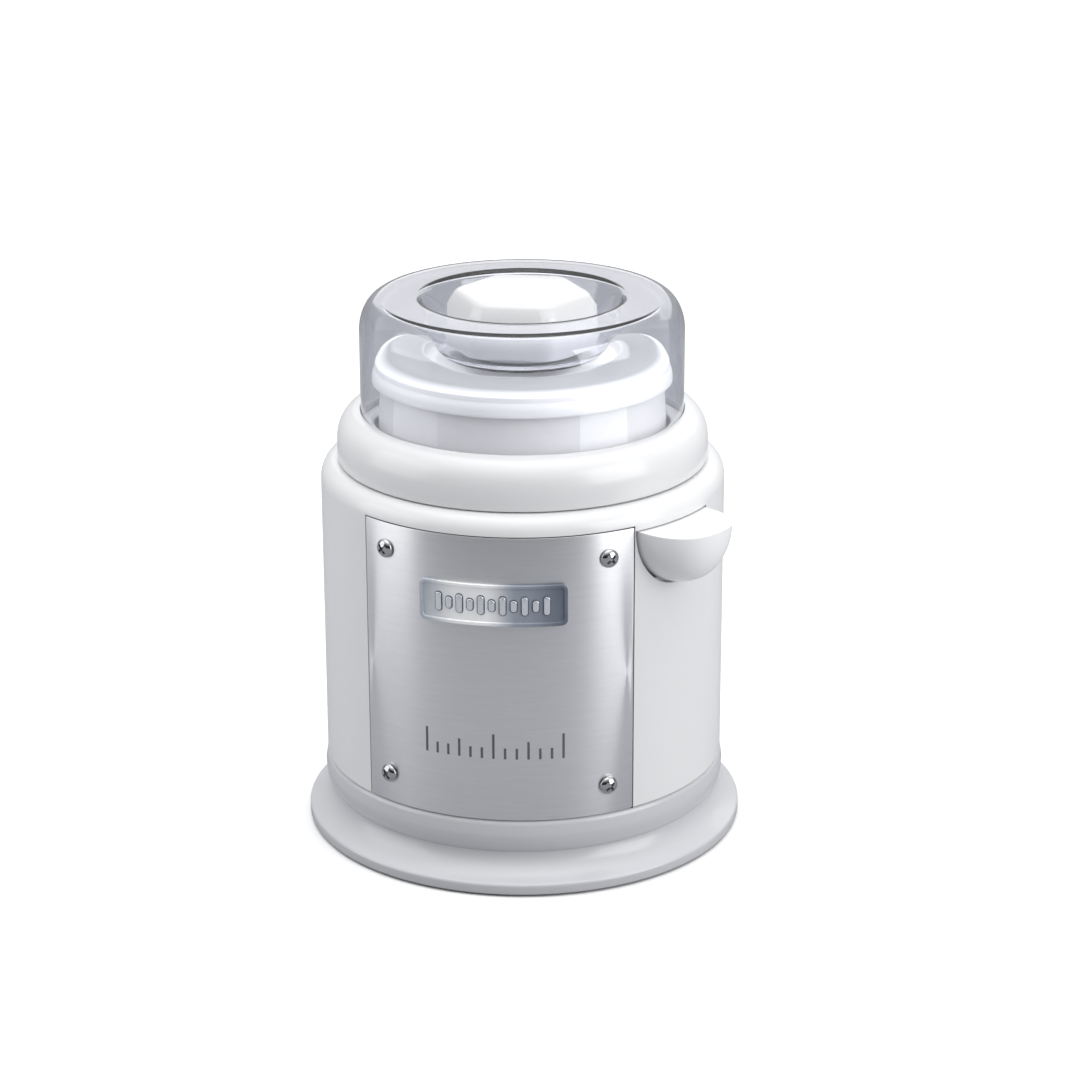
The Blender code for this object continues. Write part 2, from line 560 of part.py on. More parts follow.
# ---- thumb lever and switch ---------------------------------------------------------------
def make_thumb_lever():
    root_u = 79.5 * MM                      # where the beak starts to taper
    reach = BODY_R + LEVER_REACH - root_u
    count = 13

    def section(u, scale):
        return [on_body(LEVER_ANGLE, u, t, LEVER_TOP_Z + z)
                for t, z in half_moon_points(LEVER_HALF_WIDTH * scale, LEVER_DROP * scale, count)]

    def build(shape):
        stations = [(72.0 * MM, 1.0)]
        stations += [(root_u + reach * sin(radians(a)), cos(radians(a)))
                     for a in (0, 15, 30, 45, 58, 70, 80)]
        rows = [[shape.verts.new(p) for p in section(u, scale)] for u, scale in stations]
        shape.faces.new(rows[0])
        for row, after in zip(rows, rows[1:]):
            for i in range(count):
                j = (i + 1) % count
                shape.faces.new((row[i], row[j], after[j], after[i]))
        nose = shape.verts.new(on_body(LEVER_ANGLE, root_u + reach, 0, LEVER_TOP_Z))
        last = rows[-1]
        for i in range(count):
            shape.faces.new((last[i], last[(i + 1) % count], nose))
        bmesh.ops.recalc_face_normals(shape, faces=shape.faces)
    lever = add_object("thumb_lever", mesh_from(build), WHITE)
    cut(lever, turned("lever_back", [(0, 160.0 * MM), (77.5 * MM, 160.0 * MM),
                                     (77.5 * MM, 100.0 * MM), (0, 100.0 * MM)],
                      cutter=True, closed=False))
    join(lever,
         block("lever_web", on_body(LEVER_ANGLE, 75.3 * MM, -2.0 * MM, PIVOT_Z),
               (5.8 * MM, 32.0 * MM, 3.6 * MM), cutter=True, angle=LEVER_ANGLE),
         rod("lever_hub", on_body(LEVER_ANGLE, PIVOT_U, -21.6 * MM, PIVOT_Z),
             on_body(LEVER_ANGLE, PIVOT_U, 14.4 * MM, PIVOT_Z), 3.2 * MM, cutter=True),
         block("lever_stop", on_body(LEVER_ANGLE, 77.1 * MM, 0, 121.0 * MM),
               (2.2 * MM, 16.0 * MM, 10.0 * MM), cutter=True, angle=LEVER_ANGLE))
    cut(lever, rod("hub_hole", on_body(LEVER_ANGLE, PIVOT_U, -30.0 * MM, PIVOT_Z),
                   on_body(LEVER_ANGLE, PIVOT_U, 30.0 * MM, PIVOT_Z), 1.6 * MM, cutter=True,
                   segments=12))
    set_origin(lever, on_body(LEVER_ANGLE, PIVOT_U, 0, PIVOT_Z))
    rod("lever_pin", on_body(LEVER_ANGLE, PIVOT_U, -25.2 * MM, PIVOT_Z),
        on_body(LEVER_ANGLE, PIVOT_U, 25.2 * MM, PIVOT_Z), 1.3 * MM, STEEL)


def make_lever_spring():
    """A torsion spring on the pin: one leg on the bracket, one behind the lever."""
    coil_r, turns, per_turn = 2.0 * MM, 3.5, 8
    count = round(turns * per_turn)
    points = [on_body(LEVER_ANGLE, 70.4 * MM, 15.0 * MM, 134.5 * MM)]
    for i in range(count + 1):
        a = pi - 2 * pi * turns * i / count
        points.append(on_body(LEVER_ANGLE, PIVOT_U + coil_r * cos(a),
                              (15.0 + 3.0 * i / count) * MM, PIVOT_Z + coil_r * sin(a)))
    points.append(on_body(LEVER_ANGLE, 74.6 * MM, 18.0 * MM, 134.8 * MM))
    tube("lever_spring", points, 0.35 * MM, STEEL)


def make_switch():
    face_u = 69.4 * MM                      # bracket's outer face
    bracket = block("switch_bracket", on_body(LEVER_ANGLE, face_u - 0.5 * MM, 0, 127.8 * MM),
                    (1.0 * MM, 35.0 * MM, 20.4 * MM), STEEL, angle=LEVER_ANGLE)
    screw = [(0, 67.0), (1.9, 67.0), (2.1, 67.3), (2.1, 68.1), (0.9, 68.1), (0.9, 74.6), (0, 75.2)]
    for k, side in enumerate((-1, 1), 1):
        t = side * 13.0 * MM
        cut(bracket, rod("bracket_hole", on_body(LEVER_ANGLE, 66.0 * MM, t, 121.0 * MM),
                         on_body(LEVER_ANGLE, 72.0 * MM, t, 121.0 * MM), 1.2 * MM, cutter=True,
                         segments=12))
        spindle(f"bracket_screw_{k}", [(r * MM, z * MM) for r, z in screw],
                along(direction(LEVER_ANGLE), on_body(LEVER_ANGLE, 0, t, 121.0 * MM)), STEEL,
                segments=12)
    plunger_z = 131.0 * MM
    switch = block("microswitch", on_body(LEVER_ANGLE, 72.65 * MM, 0, plunger_z),
                   (5.9 * MM, 12.8 * MM, 6.6 * MM), BLACK, angle=LEVER_ANGLE, bevel=0.4 * MM)
    for t in (-4.5 * MM, 0, 4.5 * MM):
        join(switch, block("switch_blade", on_body(LEVER_ANGLE, 71.8 * MM, t, 126.2 * MM),
                           (0.6 * MM, 2.0 * MM, 5.4 * MM), cutter=True, angle=LEVER_ANGLE))
    cut(switch, rod("plunger_hole", on_body(LEVER_ANGLE, 71.3 * MM, 0, plunger_z),
                    on_body(LEVER_ANGLE, 78.0 * MM, 0, plunger_z), 1.4 * MM, cutter=True,
                    segments=12))
    tail, tip = (on_body(LEVER_ANGLE, u, 0, plunger_z) for u in (72.9 * MM, 77.1 * MM))
    plunger = rod("switch_plunger", tail, tip, 1.1 * MM, BLACK, segments=12)
    set_origin(plunger, tip)


# ---- heater -------------------------------------------------------------------------------
ELEMENT_R = 33.0 * MM
ELEMENT_Z = 53.3 * MM
ELEMENT_END_Z = 42.0 * MM
ELEMENT_END_ANGLE = 160.0


def make_heater():
    plate = rod("heating_plate", (0, 0, 56.7 * MM), (0, 0, 59.7 * MM), 44.0 * MM, ALUMINIUM,
                segments=36)
    cut(plate, rod("stud_hole", (0, 0, 50.0 * MM), (0, 0, 58.8 * MM), 2.0 * MM, cutter=True,
                   segments=12))
    ring = [direction(a) * ELEMENT_R + AXIS_Z * ELEMENT_Z for a in range(-150, 151, 15)]
    ends = [[direction(side * ELEMENT_END_ANGLE) * ELEMENT_R + AXIS_Z * z
             for z in (ELEMENT_Z - 1.5 * MM, 49.0 * MM, ELEMENT_END_Z)] for side in (-1, 1)]
    tube("heating_element", ends[0][::-1] + ring + ends[1], 3.0 * MM, STEEL)
    clamp = block("element_clamp", (0, 0, 49.2 * MM), (78.0 * MM, 14.0 * MM, 1.6 * MM), STEEL)
    cut(clamp, rod("clamp_hole", (0, 0, 45.0 * MM), (0, 0, 52.0 * MM), 2.0 * MM, cutter=True,
                   segments=12))
    spindle("clamp_bolt", [(r * MM, z * MM) for r, z in (
        (0, 45.4), (3.6, 45.4), (4.0, 45.8), (4.0, 48.1), (1.7, 48.1), (1.7, 58.0), (0, 58.5))],
        Matrix.Identity(4), STEEL, segments=12)
    can = spindle("thermostat", [(r * MM, z * MM) for r, z in (
        (0, 48.6), (6.6, 48.6), (6.6, 52.0), (8.0, 52.2), (8.0, 56.2), (7.6, 56.4), (0, 56.4))],
        Matrix.Translation((0, -17.0 * MM, 0)), ALUMINIUM, segments=20)
    for x in (-4.0 * MM, 4.0 * MM):
        join(can, block("thermostat_blade", (x, -17.0 * MM, 46.4 * MM),
                        (2.4 * MM, 0.8 * MM, 5.4 * MM), cutter=True))
    spindle("thermal_fuse", [(r * MM, z * MM) for r, z in (
        (0, -13.0), (0.5, -13.0), (0.5, -7.5), (1.0, -7.0), (2.0, -6.4), (2.0, 6.4), (1.0, 7.0),
        (0.5, 7.5), (0.5, 13.0), (0, 13.0))],
        along(Vector((1, 0, 0)), Vector((0, 16.0 * MM, 53.6 * MM))), ALUMINIUM, segments=10)


# ---- power inlet, terminal block and wiring -----------------------------------------------
TERMINAL_XS = (-12.0 * MM, -4.0 * MM, 4.0 * MM, 12.0 * MM)
TERMINAL_Y = 20.0 * MM
PIN_PLACES = ((-6.0 * MM, INLET_Z - 2.5 * MM), (6.0 * MM, INLET_Z - 2.5 * MM),
              (0.0, INLET_Z + 2.5 * MM))


def make_power_inlet():
    inlet = block("power_inlet", (0, 81.3 * MM, INLET_Z), (30.2 * MM, 2.4 * MM, 21.0 * MM), BLACK)
    join(inlet, block("inlet_shell", (0, 70.6 * MM, INLET_Z), (25.0 * MM, 20.2 * MM, 16.6 * MM),
                      cutter=True))
    cut(inlet, block("inlet_pocket", (0, 76.0 * MM, INLET_Z), (21.0 * MM, 20.0 * MM, 12.8 * MM),
                     cutter=True))
    for k, (x, z) in enumerate(PIN_PLACES, 1):
        cut(inlet, block("pin_slot", (x, 64.0 * MM, z), (2.6 * MM, 12.0 * MM, 4.6 * MM),
                         cutter=True))
        block(f"inlet_pin_{k}", (x, 68.0 * MM, z), (2.0 * MM, 24.0 * MM, 4.0 * MM), BRASS)


def make_terminal_block():
    body = block("terminal_block", (0, TERMINAL_Y, 13.6 * MM), (34.0 * MM, 14.0 * MM, 11.6 * MM),
                 BLACK, bevel=0.6 * MM)
    for x in TERMINAL_XS:
        cut(body, rod("terminal_hole", (x, TERMINAL_Y, 13.0 * MM), (x, TERMINAL_Y, 22.0 * MM),
                      2.4 * MM, cutter=True, segments=12))


def make_wires():
    wire_r = 0.8 * MM

    def terminal(k):
        """A wire's way down into one terminal."""
        return [(TERMINAL_XS[k], TERMINAL_Y, 23.0 * MM), (TERMINAL_XS[k], TERMINAL_Y, 14.5 * MM)]

    def pin_end(k):
        """A wire's way straight off the back of an inlet pin."""
        x, z = PIN_PLACES[k]
        return [(x, 55.6 * MM, z), (x, 52.6 * MM, z)]

    def element_end(side):
        """A wire's way straight up to one end of the heating element."""
        spot = direction(side * ELEMENT_END_ANGLE) * ELEMENT_R
        return [spot + AXIS_Z * (ELEMENT_END_Z - drop * MM) for drop in (4.5, 0.4)]

    def blade_end(x):
        """A wire's way straight up to a thermostat blade."""
        return [(x, -17 * MM, z * MM) for z in (39.5, 43.2)]

    def switch_blade(t):
        return [on_body(LEVER_ANGLE, 71.8 * MM, t, z * MM) for z in (123.1, 112.0, 70.0, 44.0)]

    blade_x = 4.0 * MM
    routes = {
        "wire_live": (WIRE_BROWN, [*pin_end(0), (-8 * MM, 44 * MM, 38 * MM),
                                 (-12 * MM, 30 * MM, 33 * MM), *terminal(0)]),
        "wire_neutral": (WIRE_BLUE, [*pin_end(1), (8 * MM, 44 * MM, 38 * MM),
                                     (12 * MM, 30 * MM, 33 * MM), *terminal(3)]),
        "wire_earth": (WIRE_GREEN, [*pin_end(2), (0, 45 * MM, 48 * MM), (0, 41 * MM, 52 * MM),
                                    (0, 41 * MM, 56.2 * MM)]),
        "wire_element": (WIRE_BLUE, [*reversed(element_end(1)), (9 * MM, 27 * MM, 33 * MM),
                                     (5 * MM, 21 * MM, 29 * MM), *terminal(2)]),
        "wire_switch_feed": (WIRE_BROWN, [*switch_blade(-4.5 * MM),
                                        on_body(LEVER_ANGLE, 64 * MM, -3 * MM, 31 * MM),
                                        (30 * MM, 0, 29 * MM), (4 * MM, 13 * MM, 31 * MM),
                                        *terminal(1)]),
        "wire_switch_return": (WIRE_BROWN, [*switch_blade(4.5 * MM),
                                          on_body(LEVER_ANGLE, 62 * MM, 5 * MM, 35 * MM),
                                          (28 * MM, -12 * MM, 35 * MM),
                                          (8 * MM, -17 * MM, 37 * MM), *blade_end(blade_x)]),
        "wire_fuse": (WIRE_BROWN, [*reversed(blade_end(-blade_x)), (-9 * MM, -12 * MM, 37 * MM),
                                 (-18 * MM, 2 * MM, 40 * MM), (-19 * MM, 15.5 * MM, 51 * MM),
                                 (-16.5 * MM, 16 * MM, 53.6 * MM), (-13.4 * MM, 16 * MM, 53.6 * MM)]),
        "wire_element_return": (WIRE_BROWN, [(13.4 * MM, 16 * MM, 53.6 * MM),
                                           (16.5 * MM, 16 * MM, 53.6 * MM),
                                           (18 * MM, 18 * MM, 47 * MM),
                                           (9 * MM, 23 * MM, 40 * MM),
                                           (-7 * MM, 28 * MM, 36 * MM), *element_end(-1)]),
    }
    for name, (material, knots) in routes.items():
        tube(name, smooth_route(knots, 9.0 * MM), wire_r, material)


def main():
    make_base_ring()
    make_bottom_plate()
    make_feet_and_base_screws()
    make_housing()
    make_front_panel()
    make_nameplate()
    make_collar()
    make_heating_well()
    make_jar()
    make_jar_lid()
    make_dome()
    make_knob()
    make_thumb_lever()
    make_lever_spring()
    make_switch()
    make_heater()
    make_power_inlet()
    make_terminal_block()
    make_wires()


main()
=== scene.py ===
"""Looks of a single-jar yogurt maker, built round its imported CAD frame.

The frame's axes: +Z up, the metal panel towards -Y, the thumb lever to the right of it. Sizes in
this script are in millimetres, and become metres when a mesh is made. Only the lights and the
camera are placed in metres. An outline of a turned piece is a list of (radius, height, rounding),
where the rounding is that corner's own radius.
"""
import json
from math import acos, cos, pi, radians, sin, tan

import bmesh
import bpy
from mathutils import Matrix, Vector


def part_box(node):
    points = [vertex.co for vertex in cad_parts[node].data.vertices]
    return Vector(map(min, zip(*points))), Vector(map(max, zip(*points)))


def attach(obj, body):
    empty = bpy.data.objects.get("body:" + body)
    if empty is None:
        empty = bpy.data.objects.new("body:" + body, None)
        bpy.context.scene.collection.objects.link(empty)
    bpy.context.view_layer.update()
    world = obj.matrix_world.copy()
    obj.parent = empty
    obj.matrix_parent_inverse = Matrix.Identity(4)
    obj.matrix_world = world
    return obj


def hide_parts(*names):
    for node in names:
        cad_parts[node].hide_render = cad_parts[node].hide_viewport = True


MM = 0.001
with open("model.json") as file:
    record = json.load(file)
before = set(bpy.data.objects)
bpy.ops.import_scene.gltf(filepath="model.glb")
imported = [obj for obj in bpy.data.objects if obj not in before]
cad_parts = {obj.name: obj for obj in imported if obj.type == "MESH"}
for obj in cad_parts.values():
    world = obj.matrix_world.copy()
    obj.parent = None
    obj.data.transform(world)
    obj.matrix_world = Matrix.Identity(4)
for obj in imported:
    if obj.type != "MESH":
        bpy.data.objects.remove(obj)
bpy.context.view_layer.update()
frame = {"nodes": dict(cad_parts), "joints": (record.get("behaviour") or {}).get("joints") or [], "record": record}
SCENE = bpy.context.scene
AXIS_Z = Vector((0, 0, 1))
ROUND_STEPS = 256              # facets round a large turned piece
GAP = 0.3                      # clearance between pieces that touch
SHARP_ANGLE = 32               # degrees
QUARTERS = (45.0, 135.0, 225.0, 315.0)
SIDES = (0.0, 90.0, 180.0, 270.0)
CUTTERS = []


# ---- sizes read from the frame ------------------------------------------------------------
class Box:
    """A CAD node's box at rest, in millimetres."""

    def __init__(self, node):
        low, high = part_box(node)
        self.low, self.high = low / MM, high / MM
        self.centre, self.size = (self.low + self.high) / 2, self.high - self.low
        self.radius, self.bottom, self.top = self.high.x, self.low.z, self.high.z


FOOT = Box("base_ring")
BODY = Box("housing")
COLLAR = Box("collar_ring")
PANEL = Box("front_panel")
BADGE = Box("nameplate")
WELL = Box("heating_well")
JAR = Box("jar")
LID = Box("jar_lid")
SEAL = Box("lid_seal")
DOME = Box("dome_cover")
KNOB = Box("dome_knob")
PLATE = Box("bottom_plate")
INLET = Box("power_inlet")
LEVER = Box("thumb_lever")

LEVER_JOINT = next(j for j in frame["joints"] if j["name"] == "lever_tilt")
LEVER_PIVOT = Vector(LEVER_JOINT["pos_m"]) / MM
LEVER_OUT = Vector((LEVER_PIVOT.x, LEVER_PIVOT.y, 0)).normalized()
LEVER_SIDE = Vector((-LEVER_OUT.y, LEVER_OUT.x, 0))


def direction(angle):
    """Unit vector out of the body, this many degrees round from the front towards +X."""
    return Vector((sin(radians(angle)), -cos(radians(angle)), 0))


def on_lever(out, along, height):
    """A point this far out from the axis and along the wall, seen from the thumb lever."""
    return LEVER_OUT * out + LEVER_SIDE * along + AXIS_Z * height


# ---- mesh helpers -------------------------------------------------------------------------
def shade(mesh, sharp=SHARP_ANGLE):
    """Shades a mesh smooth, apart from the edges that bend by more than this angle."""
    mesh.shade_smooth()
    mesh.set_sharp_from_angle(angle=radians(sharp))


def add_piece(name, shape, material=None):
    """Puts a bmesh made in millimetres into the scene, in metres and shaded smooth."""
    bmesh.ops.transform(shape, matrix=Matrix.Scale(MM, 4), verts=shape.verts)
    bmesh.ops.recalc_face_normals(shape, faces=shape.faces)
    mesh = bpy.data.meshes.new(name)
    shape.to_mesh(mesh)
    shape.free()
    shade(mesh)
    piece = bpy.data.objects.new(name, mesh)
    SCENE.collection.objects.link(piece)
    if material:
        mesh.materials.append(material)
    return piece


def apply_modifiers(piece):
    """Replaces a piece's mesh by what its modifiers make of it."""
    graph = bpy.context.evaluated_depsgraph_get()
    mesh = bpy.data.meshes.new_from_object(piece.evaluated_get(graph))
    piece.modifiers.clear()
    piece.data = mesh


def finish_piece(piece, body, slot, *nodes, sharp=SHARP_ANGLE):
    """Applies a piece's modifiers and says which body and CAD nodes it is for. The material slot is not used."""
    if piece.modifiers:
        apply_modifiers(piece)
        shade(piece.data, sharp)
    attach(piece, body)
    if nodes:
        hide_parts(*nodes)


def boolean(piece, other, operation):
    modifier = piece.modifiers.new(operation.lower(), "BOOLEAN")
    modifier.operation = operation
    modifier.object = other
    modifier.solver = "EXACT"
    CUTTERS.append(other)


def cut(piece, *others):
    for other in others:
        boolean(piece, other, "DIFFERENCE")


def join(piece, *others):
    for other in others:
        boolean(piece, other, "UNION")


def bevel(piece, width, segments, angle):
    """Rounds every edge that bends by more than this angle, in degrees."""
    modifier = piece.modifiers.new("round_edges", "BEVEL")
    modifier.width = width * MM
    modifier.segments = segments
    modifier.limit_method = "ANGLE"
    modifier.angle_limit = radians(angle)
    modifier.use_clamp_overlap = True


def remove_cutters():
    """Deletes the tools of the cuts and joins made so far, which have to be applied first."""
    for piece in CUTTERS:
        bpy.data.objects.remove(piece, do_unlink=True)
    CUTTERS.clear()


def ellipse(centre_r, centre_z, size_r, size_z, start, end, steps):
    """Outline points along an ellipse's arc, angles in degrees, with no rounding of their own."""
    turns = [radians(start + (end - start) * i / steps) for i in range(steps + 1)]
    return [(centre_r + size_r * cos(a), centre_z + size_z * sin(a)) for a in turns]


def bend(start, control, end, steps):
    """Outline points along a quadratic curve, its first point left out."""
    spots = []
    for i in range(1, steps + 1):
        s = i / steps
        spots.append(tuple((1 - s) ** 2 * a + 2 * s * (1 - s) * c + s * s * b
                           for a, c, b in zip(start, control, end)))
    return spots


def rounded(outline, closed, steps=5):
    """The outline with an arc in place of each corner that has a rounding."""
    most_of_side = 0.49            # just under half, so that two corners' arcs never meet
    result = []
    count = len(outline)
    for i, (r, z, *rounding) in enumerate(outline):
        corner = Vector((r, z))
        ends = not closed and i in (0, count - 1)
        if ends or not rounding or not rounding[0]:
            result.append(corner)
            continue
        before = Vector(outline[i - 1][:2]) - corner
        after = Vector(outline[(i + 1) % count][:2]) - corner
        room = most_of_side * min(before.length, after.length)
        before.normalize()
        after.normalize()
        half = acos(max(-1.0, min(1.0, before.dot(after)))) / 2
        reach = min(rounding[0] / tan(half), room)
        radius = reach * tan(half)
        centre = corner + (before + after).normalized() * (radius / sin(half))
        first = (corner + before * reach - centre).normalized()
        last = (corner + after * reach - centre).normalized()
        result += [centre + first.slerp(last, k / steps) * radius for k in range(steps + 1)]
    return result


def turned_shape(outline, closed=True, steps=ROUND_STEPS):
    """A bmesh of an outline turned round Z. An open outline starts and ends on the axis."""
    on_axis = 1e-6
    shape = bmesh.new()
    rings = []
    for point in rounded(outline, closed):
        if point.x < on_axis:
            rings.append([shape.verts.new((0, 0, point.y))] * steps)
        else:
            rings.append([shape.verts.new((point.x * cos(2 * pi * k / steps),
                                           point.x * sin(2 * pi * k / steps), point.y))
                          for k in range(steps)])
    following = rings[1:] + rings[:1] if closed else rings[1:]
    for ring, after in zip(rings, following):
        for k in range(steps):
            m = (k + 1) % steps
            shape.faces.new(dict.fromkeys((ring[k], ring[m], after[m], after[k])))
    return shape


def turned(name, outline, material=None, closed=True, steps=ROUND_STEPS, place=None):
    shape = turned_shape(outline, closed, steps)
    if place:
        bmesh.ops.transform(shape, matrix=place, verts=shape.verts)
    return add_piece(name, shape, material)


def standing_on(axis, centre):
    """A matrix that turns a piece made along +Z onto another axis, at a centre."""
    return Matrix.Translation(centre) @ axis.to_track_quat("Z", "Y").to_matrix().to_4x4()


def rod(name, start, end, radius, segments=32):
    """A closed cylinder between two points."""
    start, end = Vector(start), Vector(end)
    shape = bmesh.new()
    bmesh.ops.create_cone(shape, cap_ends=True, segments=segments, radius1=radius, radius2=radius,
                          depth=(end - start).length)
    bmesh.ops.transform(shape, matrix=standing_on(end - start, (start + end) / 2),
                        verts=shape.verts)
    return add_piece(name, shape)


def block(name, centre, size, axes=None, corner=0.0, edge=0.0, material=None):
    """A box. corner rounds its edges along its second axis, and edge rounds all the others."""
    shape = bmesh.new()
    bmesh.ops.create_cube(shape, size=1.0, matrix=Matrix.Diagonal((*size, 1.0)))
    if corner:
        upright = [e for e in shape.edges
                   if abs(e.verts[0].co.y - e.verts[1].co.y) > 0.9 * size[1]]
        bmesh.ops.bevel(shape, geom=upright, offset=corner, segments=8, profile=0.5,
                        affect="EDGES")
    if edge:
        sharp = [e for e in shape.edges if e.calc_face_angle(0) > radians(30)]
        bmesh.ops.bevel(shape, geom=sharp, offset=edge, segments=3, profile=0.5, affect="EDGES")
    turn = Matrix(axes).transposed().to_4x4() if axes else Matrix.Identity(4)
    bmesh.ops.transform(shape, matrix=Matrix.Translation(centre) @ turn, verts=shape.verts)
    return add_piece(name, shape, material)


def wrap(piece, radius, slice_width=1.0):
    """Bends a flat piece, made in the XZ plane with -Y outwards, round the body's axis."""
    shape = bmesh.new()
    shape.from_mesh(piece.data)
    half = max(abs(v.co.x) for v in shape.verts) / MM
    for i in range(-int(half / slice_width), int(half / slice_width) + 1):
        bmesh.ops.bisect_plane(shape, geom=shape.verts[:] + shape.edges[:] + shape.faces[:],
                               dist=1e-7, plane_co=(i * slice_width * MM, 0, 0),
                               plane_no=(1, 0, 0))
    for vertex in shape.verts:
        x, y, z = vertex.co
        angle = x / (radius * MM)
        reach = radius * MM - y
        vertex.co = (sin(angle) * reach, -cos(angle) * reach, z)
    shape.to_mesh(piece.data)
    shape.free()
    shade(piece.data)


# ---- materials ----------------------------------------------------------------------------
def add_node(tree, kind, inputs=(), **settings):
    node = tree.nodes.new(kind)
    for key, value in settings.items():
        setattr(node, key, value)
    for key, value in dict(inputs).items():
        node.inputs[key].default_value = value
    return node


def add_noise(tree, scale, stretch=(1, 1, 1), detail=3.0):
    """Noise in the piece's own space. scale is in features per metre."""
    place = add_node(tree, "ShaderNodeTexCoord")
    mapping = add_node(tree, "ShaderNodeMapping", {"Scale": stretch})
    noise = add_node(tree, "ShaderNodeTexNoise", {"Scale": scale, "Detail": detail})
    tree.links.new(place.outputs["Object"], mapping.inputs["Vector"])
    tree.links.new(mapping.outputs["Vector"], noise.inputs["Vector"])
    return noise.outputs["Fac"]


def spread(tree, source, low, high):
    """Maps noise's middle range, where most of its values lie, onto low to high."""
    noise_low, noise_high = 0.3, 0.7
    node = add_node(tree, "ShaderNodeMapRange", {"From Min": noise_low, "From Max": noise_high,
                                                 "To Min": low, "To Max": high})
    tree.links.new(source, node.inputs["Value"])
    return node.outputs["Result"]


def tint(tree, source, first, second):
    """A colour between two, by a factor."""
    node = add_node(tree, "ShaderNodeMix", data_type="RGBA")
    for socket in node.inputs:
        if socket.name in ("A", "B") and socket.type == "RGBA":
            socket.default_value = (*(first if socket.name == "A" else second), 1.0)
    tree.links.new(source, node.inputs["Factor"])
    return next(s for s in node.outputs if s.type == "RGBA")


def make_material(name, colour, roughness, variation=0.03, grain=40.0, stretch=(1, 1, 1),
                  bump=0.0, bump_scale=900.0, bump_stretch=None, bump_detail=3.0, **shader_inputs):
    """A Principled material: its colour and roughness drift a little, and a fine bump gives grain.

    roughness is a (low, high) pair, bump is the grain's height in micrometres, and grain and
    bump_scale are in features per metre. A material whose colour is None is coloured afterwards.
    """
    finer, wear_detail = 7.3, 5.0  # the roughness drifts in finer patches than the colour
    material = bpy.data.materials.new(name)
    material.use_nodes = True
    tree = material.node_tree
    shader = tree.nodes["Principled BSDF"]
    for socket, value in shader_inputs.items():
        shader.inputs[socket.replace("_", " ")].default_value = value
    if colour:
        dark = tuple(c * (1 - variation) for c in colour)
        light = tuple(min(1.0, c * (1 + variation)) for c in colour)
        factor = spread(tree, add_noise(tree, grain, stretch), 0.0, 1.0)
        tree.links.new(tint(tree, factor, dark, light), shader.inputs["Base Color"])
    wear = add_noise(tree, grain * finer, stretch, wear_detail)
    tree.links.new(spread(tree, wear, *roughness), shader.inputs["Roughness"])
    if bump:
        fine = add_noise(tree, bump_scale, bump_stretch or stretch, bump_detail)
        relief = add_node(tree, "ShaderNodeBump", {"Strength": 1.0, "Distance": bump * 1e-6})
        tree.links.new(fine, relief.inputs["Height"])
        tree.links.new(relief.outputs["Normal"], shader.inputs["Normal"])
    return material


def brush(material, amount):
    """Stretches a metal's reflections up and down, as brushing round the body does."""
    quarter_turn = 0.25
    tree = material.node_tree
    shader = tree.nodes["Principled BSDF"]
    tangent = add_node(tree, "ShaderNodeTangent", direction_type="RADIAL", axis="Z")
    shader.inputs["Anisotropic"].default_value = amount
    shader.inputs["Anisotropic Rotation"].default_value = quarter_turn
    tree.links.new(tangent.outputs["Tangent"], shader.inputs["Tangent"])
    return material


def make_gloss_white(name, colour):
    """Moulded plastic with a soft gloss and a very slight waviness."""
    return make_material(name, colour, (0.255, 0.268), variation=0.006, grain=12.0, bump=5.0,
                         bump_scale=70.0, bump_detail=1.0, IOR=1.50, Coat_Weight=0.25,
                         Coat_Roughness=0.08)


def make_wire_sleeve(name, colour, variation=0.10, grain=500.0):
    return make_material(name, colour, (0.32, 0.46), variation=variation, grain=grain, bump=4.0,
                         bump_scale=1800.0)


def make_cap_plastic_with_painted_shade():
    """The jar's plastic, with a painted shade: greyer on the ring between the cap's recess and its rounded rim, as
    if the clear cover's well shaded it.
    """
    # painted shade: the grey ring stands in for the shadow that the clear cover does not cast on the cap
    unshaded_white, painted_shade_grey = (0.96, 0.96, 0.96), (0.43, 0.432, 0.438)
    recess_r, painted_shade_from, painted_shade_to, rim_r = 38.0 * MM, 41.0 * MM, 54.0 * MM, 57.0 * MM
    material = make_material("cap_plastic_painted_shade", None, (0.30, 0.36), grain=15.0, bump=6.0,
                             bump_scale=80.0, bump_detail=1.0, IOR=1.49, Subsurface_Weight=0.2,
                             Subsurface_Radius=(0.006, 0.006, 0.0055))
    tree = material.node_tree
    shader = tree.nodes["Principled BSDF"]
    place = add_node(tree, "ShaderNodeTexCoord")
    flat = add_node(tree, "ShaderNodeVectorMath", {1: (1.0, 1.0, 0.0)}, operation="MULTIPLY")
    radius = add_node(tree, "ShaderNodeVectorMath", operation="LENGTH")
    rim = add_node(tree, "ShaderNodeMapRange", {"From Min": painted_shade_to, "From Max": rim_r})
    recess = add_node(tree, "ShaderNodeMapRange", {"From Min": painted_shade_from, "From Max": recess_r})
    lighter = add_node(tree, "ShaderNodeMath", operation="MAXIMUM")
    colour = tint(tree, lighter.outputs["Value"], painted_shade_grey, unshaded_white)
    tree.links.new(place.outputs["Object"], flat.inputs[0])
    tree.links.new(flat.outputs["Vector"], radius.inputs[0])
    for i, area in enumerate((rim, recess)):
        tree.links.new(radius.outputs["Value"], area.inputs["Value"])
        tree.links.new(area.outputs["Result"], lighter.inputs[i])
    tree.links.new(colour, shader.inputs["Base Color"])
    return material


